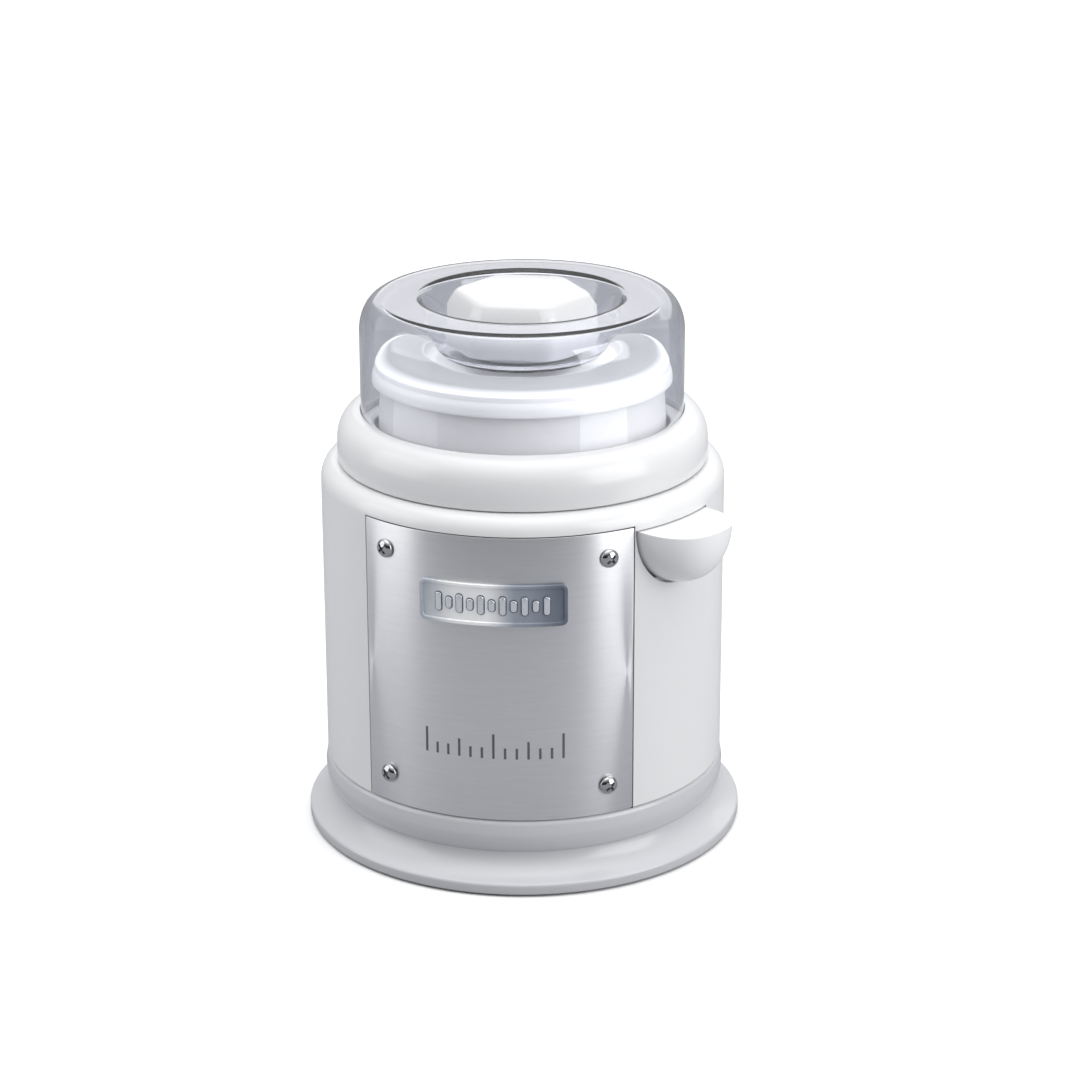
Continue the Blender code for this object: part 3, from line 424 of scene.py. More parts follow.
def make_clear_plastic():
    """Clear cover plastic: slightly smoky where a long way through it is seen."""
    material = make_material("clear_cover_plastic", (0.965, 0.97, 0.985), (0.008, 0.03),
                             variation=0.01, grain=25.0, bump=1.5, bump_scale=60.0,
                             bump_detail=1.0, IOR=1.49, Transmission_Weight=1.0)
    tree = material.node_tree
    smoke = add_node(tree, "ShaderNodeVolumeAbsorption",
                     {"Color": (0.68, 0.69, 0.77, 1.0), "Density": 105.0})
    out = next(n for n in tree.nodes if n.type == "OUTPUT_MATERIAL")
    tree.links.new(smoke.outputs["Volume"], out.inputs["Volume"])
    return material


def paint_reflection_sweep(material, box, stops):
    """Colours a metal from one end of a box to the other along X with a painted reflection: bright and dark bands
    that stand for what it would reflect.
    """
    tree = material.node_tree
    shader = tree.nodes["Principled BSDF"]
    place = add_node(tree, "ShaderNodeTexCoord")
    parts = add_node(tree, "ShaderNodeSeparateXYZ")
    along = add_node(tree, "ShaderNodeMapRange",
                     {"From Min": box.low.x * MM, "From Max": box.high.x * MM})
    ramp = add_node(tree, "ShaderNodeValToRGB")
    ramp.color_ramp.interpolation = "EASE"
    while len(ramp.color_ramp.elements) < len(stops):
        ramp.color_ramp.elements.new(0.5)
    for element, (spot, colour) in zip(ramp.color_ramp.elements, stops):
        element.position = spot
        element.color = (*colour, 1.0)
    tree.links.new(place.outputs["Object"], parts.inputs["Vector"])
    tree.links.new(parts.outputs["X"], along.inputs["Value"])
    tree.links.new(along.outputs["Result"], ramp.inputs["Fac"])
    tree.links.new(ramp.outputs["Color"], shader.inputs["Base Color"])


WHITE = make_gloss_white("white_gloss_plastic", (0.757, 0.76, 0.764))
# A darker, cooler copy of the white plastic: painted shade for the foot ring, which gets little light from below.
RING_WHITE_PAINTED_SHADE = make_gloss_white("foot_ring_plastic_painted_shade", (0.55, 0.555, 0.575))
# A lighter copy of the white plastic: painted light on the lever's down-facing front.
LEVER_WHITE_PAINTED_LIGHT = make_gloss_white("lever_plastic_painted_light", (0.84, 0.843, 0.847))
# A darker copy of the white plastic: painted shade for the knob sitting in the cover's well.
KNOB_WHITE_PAINTED_SHADE = make_gloss_white("knob_plastic_painted_shade", (0.69, 0.693, 0.696))
JAR_WHITE = make_material("jar_plastic", (0.835, 0.835, 0.83), (0.30, 0.36), variation=0.01,
                          grain=15.0, bump=6.0, bump_scale=80.0, bump_detail=1.0, IOR=1.49,
                          Subsurface_Weight=0.5, Subsurface_Radius=(0.012, 0.012, 0.011))
PANEL_METAL = brush(make_material(
    "satin_panel_metal", (0.77, 0.777, 0.792), (0.30, 0.38), variation=0.02, grain=60.0,
    stretch=(1, 1, 14), bump=1.0, bump_scale=160.0, bump_stretch=(1, 1, 26), bump_detail=4.0,
    Metallic=1.0), 0.7)
BADGE_METAL = brush(make_material(
    "blue_grey_nameplate_painted_reflection", None, (0.20, 0.27), grain=90.0, stretch=(1, 1, 10), bump=1.0,
    bump_scale=160.0, bump_stretch=(1, 1, 22), Metallic=0.30), 0.7)
# The plate's blue-grey, with a painted highlight in the white stops and painted dark reflection towards the right
# end.
BADGE_PAINTED_REFLECTION = ((0.0, (0.46, 0.50, 0.55)), (0.28, (1.0, 1.0, 1.0)), (0.44, (1.0, 1.0, 1.0)),
               (0.68, (0.32, 0.36, 0.42)), (1.0, (0.13, 0.155, 0.195)))
paint_reflection_sweep(BADGE_METAL, BADGE, BADGE_PAINTED_REFLECTION)
CHROME = make_material("chrome_plate", (0.46, 0.46, 0.475), (0.03, 0.06), variation=0.02, bump=1.0,
                       bump_scale=500.0, Metallic=1.0)
CHROME_SATIN = make_material("satin_chrome", (0.84, 0.86, 0.89), (0.20, 0.26), variation=0.02,
                             bump=1.0, bump_scale=500.0, Metallic=1.0)
# Painted shadow: a dark metal for the wider bars laid under the raised bars.
BADGE_PAINTED_SHADOW = make_material("nameplate_painted_shadow", (0.13, 0.155, 0.19), (0.30, 0.40),
                           variation=0.06, grain=300.0, bump=2.0, bump_scale=900.0, Metallic=0.6)
STEEL = make_material("zinc_plated_steel", (0.60, 0.61, 0.63), (0.28, 0.42), variation=0.10,
                      grain=350.0, bump=3.0, bump_scale=1500.0, Metallic=1.0)
SPUN = make_material("spun_aluminium", (0.78, 0.78, 0.79), (0.26, 0.38), variation=0.04,
                     grain=120.0, stretch=(1, 1, 12), bump=3.0, bump_scale=150.0,
                     bump_stretch=(1, 1, 16), Metallic=1.0)
RUBBER = make_material("foot_rubber", (0.045, 0.045, 0.048), (0.62, 0.85), variation=0.25,
                       grain=200.0, bump=18.0, bump_scale=1400.0)
SILICONE = make_material("seal_silicone", (0.78, 0.78, 0.76), (0.42, 0.58), variation=0.03,
                         bump=4.0, bump_scale=600.0, Subsurface_Weight=0.3,
                         Subsurface_Radius=(0.003, 0.003, 0.003))
BLACK = make_material("black_moulded_plastic", (0.028, 0.028, 0.031), (0.36, 0.52),
                      variation=0.15, bump=14.0, bump_scale=2200.0)
WOOL = make_material("glass_wool", (0.74, 0.71, 0.62), (0.9, 1.0), variation=0.22, grain=420.0,
                     stretch=(1, 1, 3), bump=500.0, bump_scale=900.0, bump_detail=6.0,
                     Sheen_Weight=0.3)
BRASS = make_material("pin_brass", (0.72, 0.53, 0.25), (0.18, 0.34), variation=0.08, grain=300.0,
                      bump=2.0, bump_scale=1800.0, Metallic=1.0)
WIRE_BROWN = make_wire_sleeve("brown_wire", (0.16, 0.055, 0.022))
WIRE_BLUE = make_wire_sleeve("blue_wire", (0.022, 0.085, 0.33))
WIRE_GREEN = make_wire_sleeve("green_wire", (0.09, 0.26, 0.045), variation=0.30, grain=160.0)
INK = make_material("print_ink", (0.105, 0.108, 0.118), (0.40, 0.55), variation=0.12,
                    grain=900.0, bump=2.0, bump_scale=3000.0)
CAP_WHITE_WITH_PAINTED_SHADE = make_cap_plastic_with_painted_shade()
CLEAR = make_clear_plastic()


# ---- foot ring, feet and bottom -----------------------------------------------------------
BASE_SCREW_R = Box("base_screw_1").centre.xy.length
FOOT_R = Box("rubber_foot_1").centre.xy.length


def make_foot_ring():
    """The flared ring: a bead under the housing, a cove, and a wide rim that stands on feet."""
    rim_r, rim_z, top = FOOT.radius, FOOT.bottom, PANEL.bottom - GAP
    bead_r, bead_wide, bead_high = 79.9, 2.4, 2.6
    shoulder, neck, lip = (82.8, 23.6), (80.2, 15.2), (rim_r - 1.0, 5.6)
    outside = ellipse(bead_r, top - bead_high, bead_wide, bead_high, 90, 0, 12) + [shoulder]
    outside += bend(shoulder, (82.7, 17.4), neck, 12)
    outside += bend(neck, (81.0, 9.2), lip, 28)
    outside += bend(lip, (rim_r, 5.2), (rim_r, 4.2), 6)
    wall_r, shelf_r, shelf_low, shelf_high = 79.6, 66.0, 22.0, 24.5
    spigot_in, spigot_out, spigot_top = 75.6, 78.5, 35.5
    inside = [(rim_r, rim_z, 0.5), (88.4, rim_z, 0.5), (87.4, 3.4, 1), (83.4, 6.6, 2),
              (80.4, 10.2, 1), (wall_r, 14.0), (wall_r, shelf_low, 0.5), (shelf_r, shelf_low, 0.4),
              (shelf_r, shelf_high, 0.4), (spigot_in, shelf_high, 0.5),
              (spigot_in, spigot_top, 0.4), (spigot_out, spigot_top, 0.4),
              (spigot_out + 0.1, top)]
    ring = turned("foot_ring_shell", outside + inside, RING_WHITE_PAINTED_SHADE)
    finish_piece(ring, "root", "white_plastic", "base_ring")


def make_bottom_plate():
    """The plate under the body, with its screw and foot holes and a ring of vents."""
    low, high = PLATE.bottom, PLATE.top
    vents, vent_r, vent_size = 8, 38.0, (24.0, 9.0, 3.2)
    plate = rod("bottom_cover", (0, 0, low), (0, 0, high), PLATE.radius, 128)
    plate.data.materials.append(WHITE)
    for angles, reach, hole_r in ((QUARTERS, BASE_SCREW_R, 1.9), (SIDES, FOOT_R, 2.5)):
        for angle in angles:
            spot = direction(angle) * reach
            cut(plate, rod("hole", spot, spot + AXIS_Z * 2 * high, hole_r))
    for k in range(vents):
        out = direction((k + 0.5) * 360 / vents)
        along = AXIS_Z.cross(out)
        cut(plate, block("vent", out * vent_r + AXIS_Z * low, vent_size,
                         axes=(out, AXIS_Z, along), corner=1.5))
    bevel(plate, 0.35, 2, 60)
    finish_piece(plate, "root", "white_plastic", "bottom_plate")


def cross_recess(centre, axis, length, width, depth):
    """Two crossed bars that cut a driver recess into a screw head facing along axis."""
    side = axis.orthogonal().normalized()
    other = axis.cross(side)
    return [block("recess", centre, (length, depth * 2, width), axes=(a, axis, b))
            for a, b in ((side, other), (other, side))]


def make_feet():
    for k, angle in enumerate(SIDES, 1):
        spot = direction(angle) * FOOT_R
        outline = [(0, 1.0), (3.4, 1.0, 0.3), (3.8, 0, 0.2), (6.6, 0, 0.4), (7.5, 0.9, 0.5),
                   (7.5, 4.7, 0.4), (2.2, 4.7), (2.2, 7.8), (3.2, 7.9, 0.2), (1.8, 9.6, 0.2),
                   (0, 9.6)]
        foot = turned(f"soft_foot_{k}", outline, RUBBER, closed=False, steps=48,
                      place=Matrix.Translation(spot))
        finish_piece(foot, "root", "rubber", f"rubber_foot_{k}")


def make_base_screws():
    head_z = 2.6
    for k, angle in enumerate(QUARTERS, 1):
        spot = direction(angle) * BASE_SCREW_R
        outline = [(0, head_z), (2.6, head_z, 0.6), (3.4, 3.3, 0.3), (3.4, 4.7, 0.1), (1.6, 4.7),
                   (1.6, 39.4), (0, 40.6)]
        screw = turned(f"bottom_screw_{k}", outline, STEEL, closed=False, steps=40,
                       place=Matrix.Translation(spot))
        cut(screw, *cross_recess(spot + AXIS_Z * head_z, AXIS_Z, 3.6, 0.75, 1.2))
        finish_piece(screw, "root", "steel", f"base_screw_{k}")


# ---- housing ------------------------------------------------------------------------------
LEVER_TOP = LEVER.top
LEVER_HALF_WIDTH, LEVER_DROP = 20.0, 24.0
PANEL_HALF_ANGLE, PANEL_THICKNESS = 40.0, 1.0


def half_moon(half_width, drop, steps):
    """A straight top edge and half an ellipse below it, as (along the wall, height) pairs."""
    return [(-half_width * cos(pi * i / steps), -drop * sin(pi * i / steps))
            for i in range(steps + 1)]


def lever_window():
    """The cutter for the half-moon window that the lever stands in, with a gap all round."""
    side_gap, foot_gap, top_gap = 1.3, 1.7, 0.5
    inner, outer = 70.0, 92.0      # it reaches from inside the wall to well outside it
    shape = bmesh.new()
    outline = half_moon(LEVER_HALF_WIDTH + side_gap, LEVER_DROP + foot_gap, 64)
    ends = [[shape.verts.new(on_lever(u, t, LEVER_TOP + top_gap + z)) for t, z in outline]
            for u in (inner, outer)]
    for side in ends:
        shape.faces.new(side)
    for i in range(len(outline)):
        j = (i + 1) % len(outline)
        shape.faces.new((ends[0][i], ends[0][j], ends[1][j], ends[1][i]))
    return add_piece("window", shape)


def panel_recess():
    """The cutter for the step that the metal panel lies in, with a fine gap round it."""
    side_gap, top_gap, steps = 0.3, 0.5, 72
    half = radians(PANEL_HALF_ANGLE + side_gap)
    inner, outer = BODY.radius - PANEL_THICKNESS - GAP, BODY.radius + 4.0
    low, high = PANEL.bottom - 2.0, PANEL.top + top_gap
    corners = ((inner, low), (outer, low), (outer, high), (inner, high))
    shape = bmesh.new()
    rows = []
    for i in range(steps + 1):
        out = Vector((sin(half * (2 * i / steps - 1)), -cos(half * (2 * i / steps - 1)), 0))
        rows.append([shape.verts.new(out * r + AXIS_Z * z) for r, z in corners])
    for row, after in zip(rows, rows[1:]):
        for k in range(len(corners)):
            m = (k + 1) % len(corners)
            shape.faces.new((row[k], row[m], after[m], after[k]))
    shape.faces.new(reversed(rows[0]))
    shape.faces.new(rows[-1])
    return add_piece("recess_tool", shape)


def make_housing():
    """The body's shell, with a shelf round the heating well and a step up into the collar."""
    body_r, seam, foot = BODY.radius, BODY.top, PANEL.bottom
    inner_r, shelf_r, step_r = body_r - 3.0, 60.4, 72.6
    shelf_low, shelf_high = 149.7, 152.2
    shoulder_r, shoulder_z = 75.4, 147.5
    outside = [(shoulder_r - 0.5, seam)]
    outside += ellipse(shoulder_r, shoulder_z, body_r - shoulder_r, seam - shoulder_z, 90, 0, 24)
    outside += [(body_r, foot + 0.1), (body_r - 0.4, foot)]
    inside = [(inner_r, foot, 0.2), (inner_r, shelf_low, 5.5), (shelf_r, shelf_low, 0.3),
              (shelf_r, shelf_high, 0.3), (step_r, shelf_high, 0.4), (step_r, seam, 0.3)]
    shell = turned("body_shell", outside + inside, WHITE)
    cut(shell, panel_recess(), lever_window(),
        block("inlet_window", (0, 80.0, INLET.centre.z), (30.8, 16.0, 21.6), corner=3.2))
    finish_piece(shell, "root", "white_plastic", "housing", sharp=28)


# ---- front panel, screws and nameplate ----------------------------------------------------
PANEL_WIDTH = 2 * radians(PANEL_HALF_ANGLE) * BODY.radius


def make_front_panel():
    panel = block("metal_panel", (0, PANEL_THICKNESS / 2, PANEL.centre.z),
                  (PANEL_WIDTH, PANEL_THICKNESS, PANEL.size.z), corner=0.5, edge=0.22,
                  material=PANEL_METAL)
    wrap(panel, BODY.radius)
    finish_piece(panel, "root", "panel_metal", "front_panel")


def make_panel_painted_shadow_line():
    """A dark line of painted shadow in the gap along the panel's top and its right side, made as a thin strip of
    the foot rubber.
    """
    line, depth, inset, clear = 0.5, 0.9, 0.75, 0.02
    beside = line / 2 + clear
    shape = bmesh.new()
    for centre, size in (((0, inset, PANEL.top + beside), (PANEL_WIDTH, depth, line)),
                         ((PANEL_WIDTH / 2 + beside, inset, PANEL.centre.z),
                          (line, depth, PANEL.size.z + 2 * line))):
        matrix = Matrix.Translation(centre) @ Matrix.Diagonal((*size, 1))
        bmesh.ops.create_cube(shape, size=1.0, matrix=matrix)
    shadow_strip = add_piece("panel_painted_shadow_strip", shape, RUBBER)
    wrap(shadow_strip, BODY.radius)
    finish_piece(shadow_strip, "root", "rubber")


def make_panel_screws():
    """Dome-head screws with cross recesses, each standing straight out of the panel."""
    head_r, head_z, dome, shank_r = 3.8, 0.35, 2.15, 1.5
    for k in (1, 2, 3, 4):
        place = Box(f"panel_screw_{k}").centre
        out = Vector((place.x, place.y, 0)).normalized()
        seat = out * (BODY.radius + 0.15) + AXIS_Z * place.z
        outline = ellipse(0, head_z, head_r, dome, 90, 0, 14)
        outline += [(head_r, 0.0, 0.1), (shank_r, 0.0), (shank_r, -9.8), (0, -10.6)]
        screw = turned(f"dome_screw_{k}", outline, CHROME, closed=False, steps=64,
                       place=standing_on(out, seat))
        cut(screw, *cross_recess(seat + out * (head_z + dome), out, 4.4, 1.05, 1.7))
        finish_piece(screw, "root", "chrome", f"panel_screw_{k}")


def make_nameplate():
    """A curved plate with a raised border, and a plain row of bars where lettering would be."""
    width, height, z = 58.0, BADGE.size.z - 1.6, BADGE.centre.z
    border, field_y, field_depth = 1.5, -2.9, 3.2
    plate = block("badge", (0, -1.1, z), (width, 1.6, height), corner=2.4, edge=0.3,
                  material=BADGE_METAL)
    cut(plate, block("field", (0, field_y, z),
                     (width - 2 * border, field_depth, height - 2 * border), corner=1.4))
    bevel(plate, 0.3, 3, 50)
    apply_modifiers(plate)
    remove_cutters()
    wrap(plate, BODY.radius)
    finish_piece(plate, "root", "nameplate_metal", "nameplate")
    # painted shadow round the raised bars: a wider row of dark bars beneath them
    make_badge_bars("badge_bar_painted_shadows", z, 0.45, 1.45, BADGE_PAINTED_SHADOW)
    make_badge_bars("badge_bars", z, 0.0, 1.95, CHROME_SATIN)


def make_badge_bars(name, z, margin, height, material):
    """A row of long and short bars, this much wider all round, and this high above the body."""
    pitch, width, long_bar, short_bar, foot = 4.2, 2.3, 7.4, 4.6, 0.8
    bars = bmesh.new()
    for i in range(-5, 6):
        length = long_bar if i % 2 else short_bar
        size = (width + 2 * margin, height - foot, length + 2 * margin)
        bar = block("bar", (i * pitch, -(height + foot) / 2, z), size, corner=size[0] * 0.47,
                    edge=0.25)
        bars.from_mesh(bar.data)
        bpy.data.objects.remove(bar, do_unlink=True)
    bmesh.ops.transform(bars, matrix=Matrix.Scale(1 / MM, 4), verts=bars.verts)
    motif = add_piece(name, bars, material)
    wrap(motif, BODY.radius, 0.5)
    finish_piece(motif, "root", "nameplate_metal")


def make_print():
    """A plain printed scale of ticks, low on the panel."""
    foot, pitch, ticks, width, ink, lift = 55.8, 4.6, 13, 1.0, 0.03, 0.035
    tall, middling, low = 10.4, 7.4, 4.6
    shape = bmesh.new()
    for i in range(ticks):
        height = tall if i % 6 == 0 else middling if i % 3 == 0 else low
        place = ((i - (ticks - 1) / 2) * pitch, -lift, foot + height / 2)
        matrix = Matrix.Translation(place) @ Matrix.Diagonal((width, ink, height, 1))
        bmesh.ops.create_cube(shape, size=1.0, matrix=matrix)
    marks = add_piece("printed_scale", shape, INK)
    wrap(marks, BODY.radius)
    finish_piece(marks, "root", None)


# ---- collar and heating well --------------------------------------------------------------
COLLAR_FOOT_Z = 155.5


def make_collar():
    """The rounded ring on the body: a skirt into the housing, and a groove for the clear cover."""
    outer_r, side_z, top, foot = COLLAR.radius, 163.5, COLLAR.top, COLLAR_FOOT_Z
    crown_r, skirt_foot, neck_in, neck_out, neck_foot = 65.7, 152.5, 58.2, 60.6, 154.0
    groove_r, groove_z, lip_z = 62.6, 172.0, 173.8
    outside = ellipse(crown_r, side_z, outer_r - crown_r, top - side_z, 90, 0, 32)
    outside += [(outer_r, foot + 1.1), (outer_r - 0.35, foot + 0.4), (outer_r - 1.0, foot)]
    inside = [(72.3, foot, 0.2), (72.3, skirt_foot, 0.3), (70.0, skirt_foot, 0.3), (70.0, 164.0, 3),
              (67.5, 169.5, 2), (neck_out, 169.5, 1), (neck_out, neck_foot, 0.5),
              (neck_in, neck_foot, 0.5), (neck_in, 172.9, 0.8), (59.4, lip_z, 0.4),
              (groove_r, lip_z, 0.4), (groove_r, groove_z, 0.2), (65.5, groove_z, 0.2)]
    ring = turned("collar_shell", outside + inside, WHITE)
    finish_piece(ring, "root", "white_plastic", "collar_ring")


def make_well():
    """The aluminium liner that the jar stands in, hung from a flange round its mouth."""
    floor, outer, sheet, flange_r, flange_z = WELL.bottom, 59.8, 1.2, 65.5, 152.5
    inner = outer - sheet
    outline = [(0, floor + sheet), (inner, floor + sheet, 3), (inner, flange_z + sheet, 1.2),
               (flange_r, flange_z + sheet, 0.3), (flange_r, flange_z, 0.3),
               (outer, flange_z, 0.5), (outer, floor, 4), (0, floor)]
    well = turned("aluminium_liner", outline, SPUN, closed=False)
    finish_piece(well, "root", "aluminium", "heating_well")


# ---- jar and lid --------------------------------------------------------------------------
def make_jar():
    """A straight jar with a bead round its mouth and a shallow hollow under its foot."""
    outer, floor, rim, bead_r = 56.6, JAR.bottom, JAR.top, JAR.radius
    wall, base, hollow = 2.2, 2.7, 0.9
    inner = outer - wall
    outline = [(0, floor + base), (inner, floor + base, 4), (inner, rim - 0.8, 0.5),
               (inner + 0.6, rim, 0.4), (57.8, rim, 0.8), (bead_r, rim - 0.8, 0.8),
               (bead_r, 192.0, 0.8), (outer, 190.6, 0.8), (outer, floor, 4),
               (40.0, floor, 0.5), (39.4, floor + hollow, 0.5), (0, floor + hollow)]
    jar = turned("inner_jar", outline, JAR_WHITE, closed=False)
    finish_piece(jar, "jar", "jar_plastic", "jar")


def make_jar_lid():
    """The jar's cap: a recess in the middle, a flat ring, and a broad rounded rim."""
    top, skirt, radius = LID.top, LID.bottom, LID.radius - 1.3
    recess_z, thickness, under_ring = 195.4, 2.0, 197.0
    rim_r, rim_z, skirt_in = 50.5, 191.2, 58.9
    outline = [(0, recess_z), (36.4, recess_z, 1.5), (38.3, recess_z + 0.9, 1), (39.4, top, 0.8)]
    outline += ellipse(rim_r, rim_z, radius - rim_r, top - rim_z, 90, 0, 24)
    outline += [(radius, rim_z - 1.2, 1), (radius - 0.2, skirt, 0.3), (skirt_in, skirt, 0.2),
                (skirt_in, under_ring, 0.6), (41.4, under_ring, 0.5),
                (40.6, recess_z - thickness, 0.6), (0, recess_z - thickness)]
    lid = turned("jar_cap", outline, CAP_WHITE_WITH_PAINTED_SHADE, closed=False)
    finish_piece(lid, "lid", "jar_plastic", "jar_lid")


def make_lid_seal():
    low, high, outer, inner = SEAL.bottom, SEAL.top, 57.7, 54.9
    seal = turned("cap_seal", [(outer, high, 0.3), (outer, low, 0.5), (inner, low, 0.5),
                               (inner, high, 0.3)], SILICONE)
    finish_piece(seal, "lid", "silicone", "lid_seal")


# ---- clear cover and knob -----------------------------------------------------------------
WELL_FLOOR_Z = 200.2           # the finger well's floor, in the cover's top


def make_dome():
    """The clear cover: a finger well in a flat top that rounds down into a straight side."""
    top, bottom, radius, wall = DOME.top + 1.2, DOME.bottom, DOME.radius, 2.4
    turn_r, turn_z = 56.6, 208.0   # where the flat top starts to round down, and where it ends
    hole_r, floor, under_floor, seat_r = 1.9, WELL_FLOOR_Z, 198.4, 4.4
    inner_r = radius - wall
    well = [(hole_r, floor, 0.2), (31.0, floor, 1.0), (33.0, 201.8, 1.0), (40.2, top, 3.6)]
    outside = ellipse(turn_r, turn_z, radius - turn_r, top - turn_z, 90, 0, 28)
    rim = [(radius, bottom, 0.8), (inner_r, bottom, 0.8)]
    inside = ellipse(turn_r, turn_z, inner_r - turn_r, top - wall - turn_z, 0, 90, 24)
    under = [(42.0, top - wall, 1.2), (34.6, 200.9, 2.0), (32.4, under_floor, 2.0),
             (seat_r, under_floor, 0.3), (hole_r, under_floor + 1.2, 0.2)]
    dome = turned("clear_dome", well + outside + rim + inside + under, CLEAR)
    dome.visible_shadow = False
    finish_piece(dome, "cover", "clear_cover", "dome_cover")


def make_knob():
    """A six-sided knob with soft corners and crown, hollow from below."""
    sides, flat_r, top, skirt = 6, -KNOB.low.y - 1.0, KNOB.top, 202.6
    slope_in, slope_down, corner_bevel, crown_bevel = 3.4, 6.0, 4.5, 2.0
    level, least_bend = 0.01, radians(12)
    shape = bmesh.new()
    rings = []
    for reach, z in ((flat_r, skirt), (flat_r, top - slope_down), (flat_r - slope_in, top)):
        corner_r = reach / cos(pi / sides)
        rings.append([shape.verts.new(direction((k + 0.5) * 360 / sides) * corner_r + AXIS_Z * z)
                      for k in range(sides)])
    shape.faces.new(rings[0])
    shape.faces.new(reversed(rings[-1]))
    for ring, after in zip(rings, rings[1:]):
        for k in range(sides):
            m = (k + 1) % sides
            shape.faces.new((ring[k], ring[m], after[m], after[k]))
    bmesh.ops.recalc_face_normals(shape, faces=shape.faces)
    upright = [e for e in shape.edges if abs(e.verts[0].co.z - e.verts[1].co.z) > 1]
    bmesh.ops.bevel(shape, geom=upright, offset=corner_bevel, segments=10, profile=0.5,
                    affect="EDGES")
    crown = [e for e in shape.edges
             if e.calc_face_angle(0) > least_bend and min(v.co.z for v in e.verts) > skirt + 1
             and abs(e.verts[0].co.z - e.verts[1].co.z) < level]
    bmesh.ops.bevel(shape, geom=crown, offset=crown_bevel, segments=6, profile=0.5,
                    affect="EDGES")
    knob = add_piece("hexagon_knob", shape, KNOB_WHITE_PAINTED_SHADE)
    below, foot_r, hollow_r, hub_r, hollow_top = 199.0, 24.0, 20.0, 6.0, 216.0
    join(knob, rod("foot", (0, 0, WELL_FLOOR_Z + GAP), (0, 0, 210.0), foot_r, 96))
    cut(knob, turned("hollow", [(hollow_r, hollow_top), (hollow_r, below), (hub_r, below),
                                (hub_r, hollow_top)], steps=96),
        rod("hole", (0, 0, below), (0, 0, 214.0), 1.8))
    finish_piece(knob, "cover", "white_plastic", "dome_knob")


def make_knob_screw():
    """A countersunk screw, up through the cover into the knob's hub."""
    head_z, head_r, shank_r = 197.9, 3.7, 1.5
    screw = turned("knob_fixing", [(0, head_z), (head_r, head_z, 0.1), (head_r, head_z + 0.2),
                                   (shank_r, 199.7), (shank_r, 211.5), (0, 212.5)], STEEL,
                   closed=False, steps=48)
    cut(screw, *cross_recess(AXIS_Z * head_z, AXIS_Z, 3.8, 0.8, 1.1))
    finish_piece(screw, "cover", "steel", "knob_screw")


# ---- thumb lever --------------------------------------------------------------------------
def beak_shape():
    """Half-moon sections that stand straight through the wall and then shrink to a nose."""
    back_u, root_u, nose_u = 72.0, 79.5, BODY.radius + 20.8
    steps, stations, fullness = 64, 28, 0.78
    places = [(back_u, 1.0)]
    for i in range(stations):
        turn = pi / 2 * i / stations
        places.append((root_u + (nose_u - root_u) * sin(turn) ** fullness, cos(turn) ** fullness))
    shape = bmesh.new()
    rows = [[shape.verts.new(on_lever(u, t, LEVER_TOP + z))
             for t, z in half_moon(LEVER_HALF_WIDTH * scale, LEVER_DROP * scale, steps)]
            for u, scale in places]
    shape.faces.new(rows[0])
    for row, after in zip(rows, rows[1:]):
        for i in range(steps + 1):
            j = (i + 1) % (steps + 1)
            shape.faces.new((row[i], row[j], after[j], after[i]))
    nose = shape.verts.new(on_lever(nose_u, 0, LEVER_TOP))
    for i in range(steps + 1):
        shape.faces.new((rows[-1][i], rows[-1][(i + 1) % (steps + 1)], nose))
    return shape


def make_lever():
    """The beak, and behind it the hub on the pin, the stop and a pocket that clears the spring."""
    pivot_u, pivot_z, back_r, hub_r, pin_r = LEVER_PIVOT.xy.length, LEVER_PIVOT.z, 77.5, 3.2, 1.6
    axes = (LEVER_OUT, LEVER_SIDE, AXIS_Z)
    lever = add_piece("thumb_beak", beak_shape(), LEVER_WHITE_PAINTED_LIGHT)
    bevel(lever, 0.9, 4, 50)
    apply_modifiers(lever)
    cut(lever, turned("back", [(0, 160), (back_r, 160), (back_r, 100), (0, 100)], closed=False,
                      steps=360),
        block("spring_pocket", on_lever(75.4, 18.0, 136.5), (3.6, 2.8, 9.0), axes=axes))
    join(lever, block("web", on_lever(75.3, -2.0, pivot_z), (5.8, 32.0, 3.6), axes=axes),
         rod("hub", on_lever(pivot_u, -21.6, pivot_z), on_lever(pivot_u, 14.4, pivot_z), hub_r),
         block("stop", on_lever(77.1, 0, 121.0), (2.2, 16.0, 10.0), axes=axes))
    cut(lever, rod("hub_hole", on_lever(pivot_u, -30, pivot_z), on_lever(pivot_u, 30, pivot_z),
                   pin_r))
    finish_piece(lever, "lever", "white_plastic", "thumb_lever")


# ---- power inlet --------------------------------------------------------------------------
def make_inlet():
    """The socket for a cord at the back: a flange, a shell with a pocket, and three blades."""
    z, slot_y, slot_size = INLET.centre.z, 64.0, (2.6, 12.0, 4.6)
    inlet = block("inlet_body", (0, 81.3, z), (30.2, 2.4, 21.0), corner=3.0, edge=0.5,
                  material=BLACK)
    join(inlet, block("shell", (0, 70.6, z), (25.0, 20.2, 16.6), corner=1.5))
    cut(inlet, block("pocket", (0, 76.0, z), (21.0, 20.0, 12.8), corner=1.6))
    for k in (1, 2, 3):
        pin = Box(f"inlet_pin_{k}")
        cut(inlet, block("slot", (pin.centre.x, slot_y, pin.centre.z), slot_size))
        blade = block(f"blade_{k}", pin.centre, pin.size, edge=0.5, material=BRASS)
        finish_piece(blade, "root", "brass", f"inlet_pin_{k}")
    bevel(inlet, 0.25, 2, 50)
    finish_piece(inlet, "root", "black_plastic", "power_inlet")


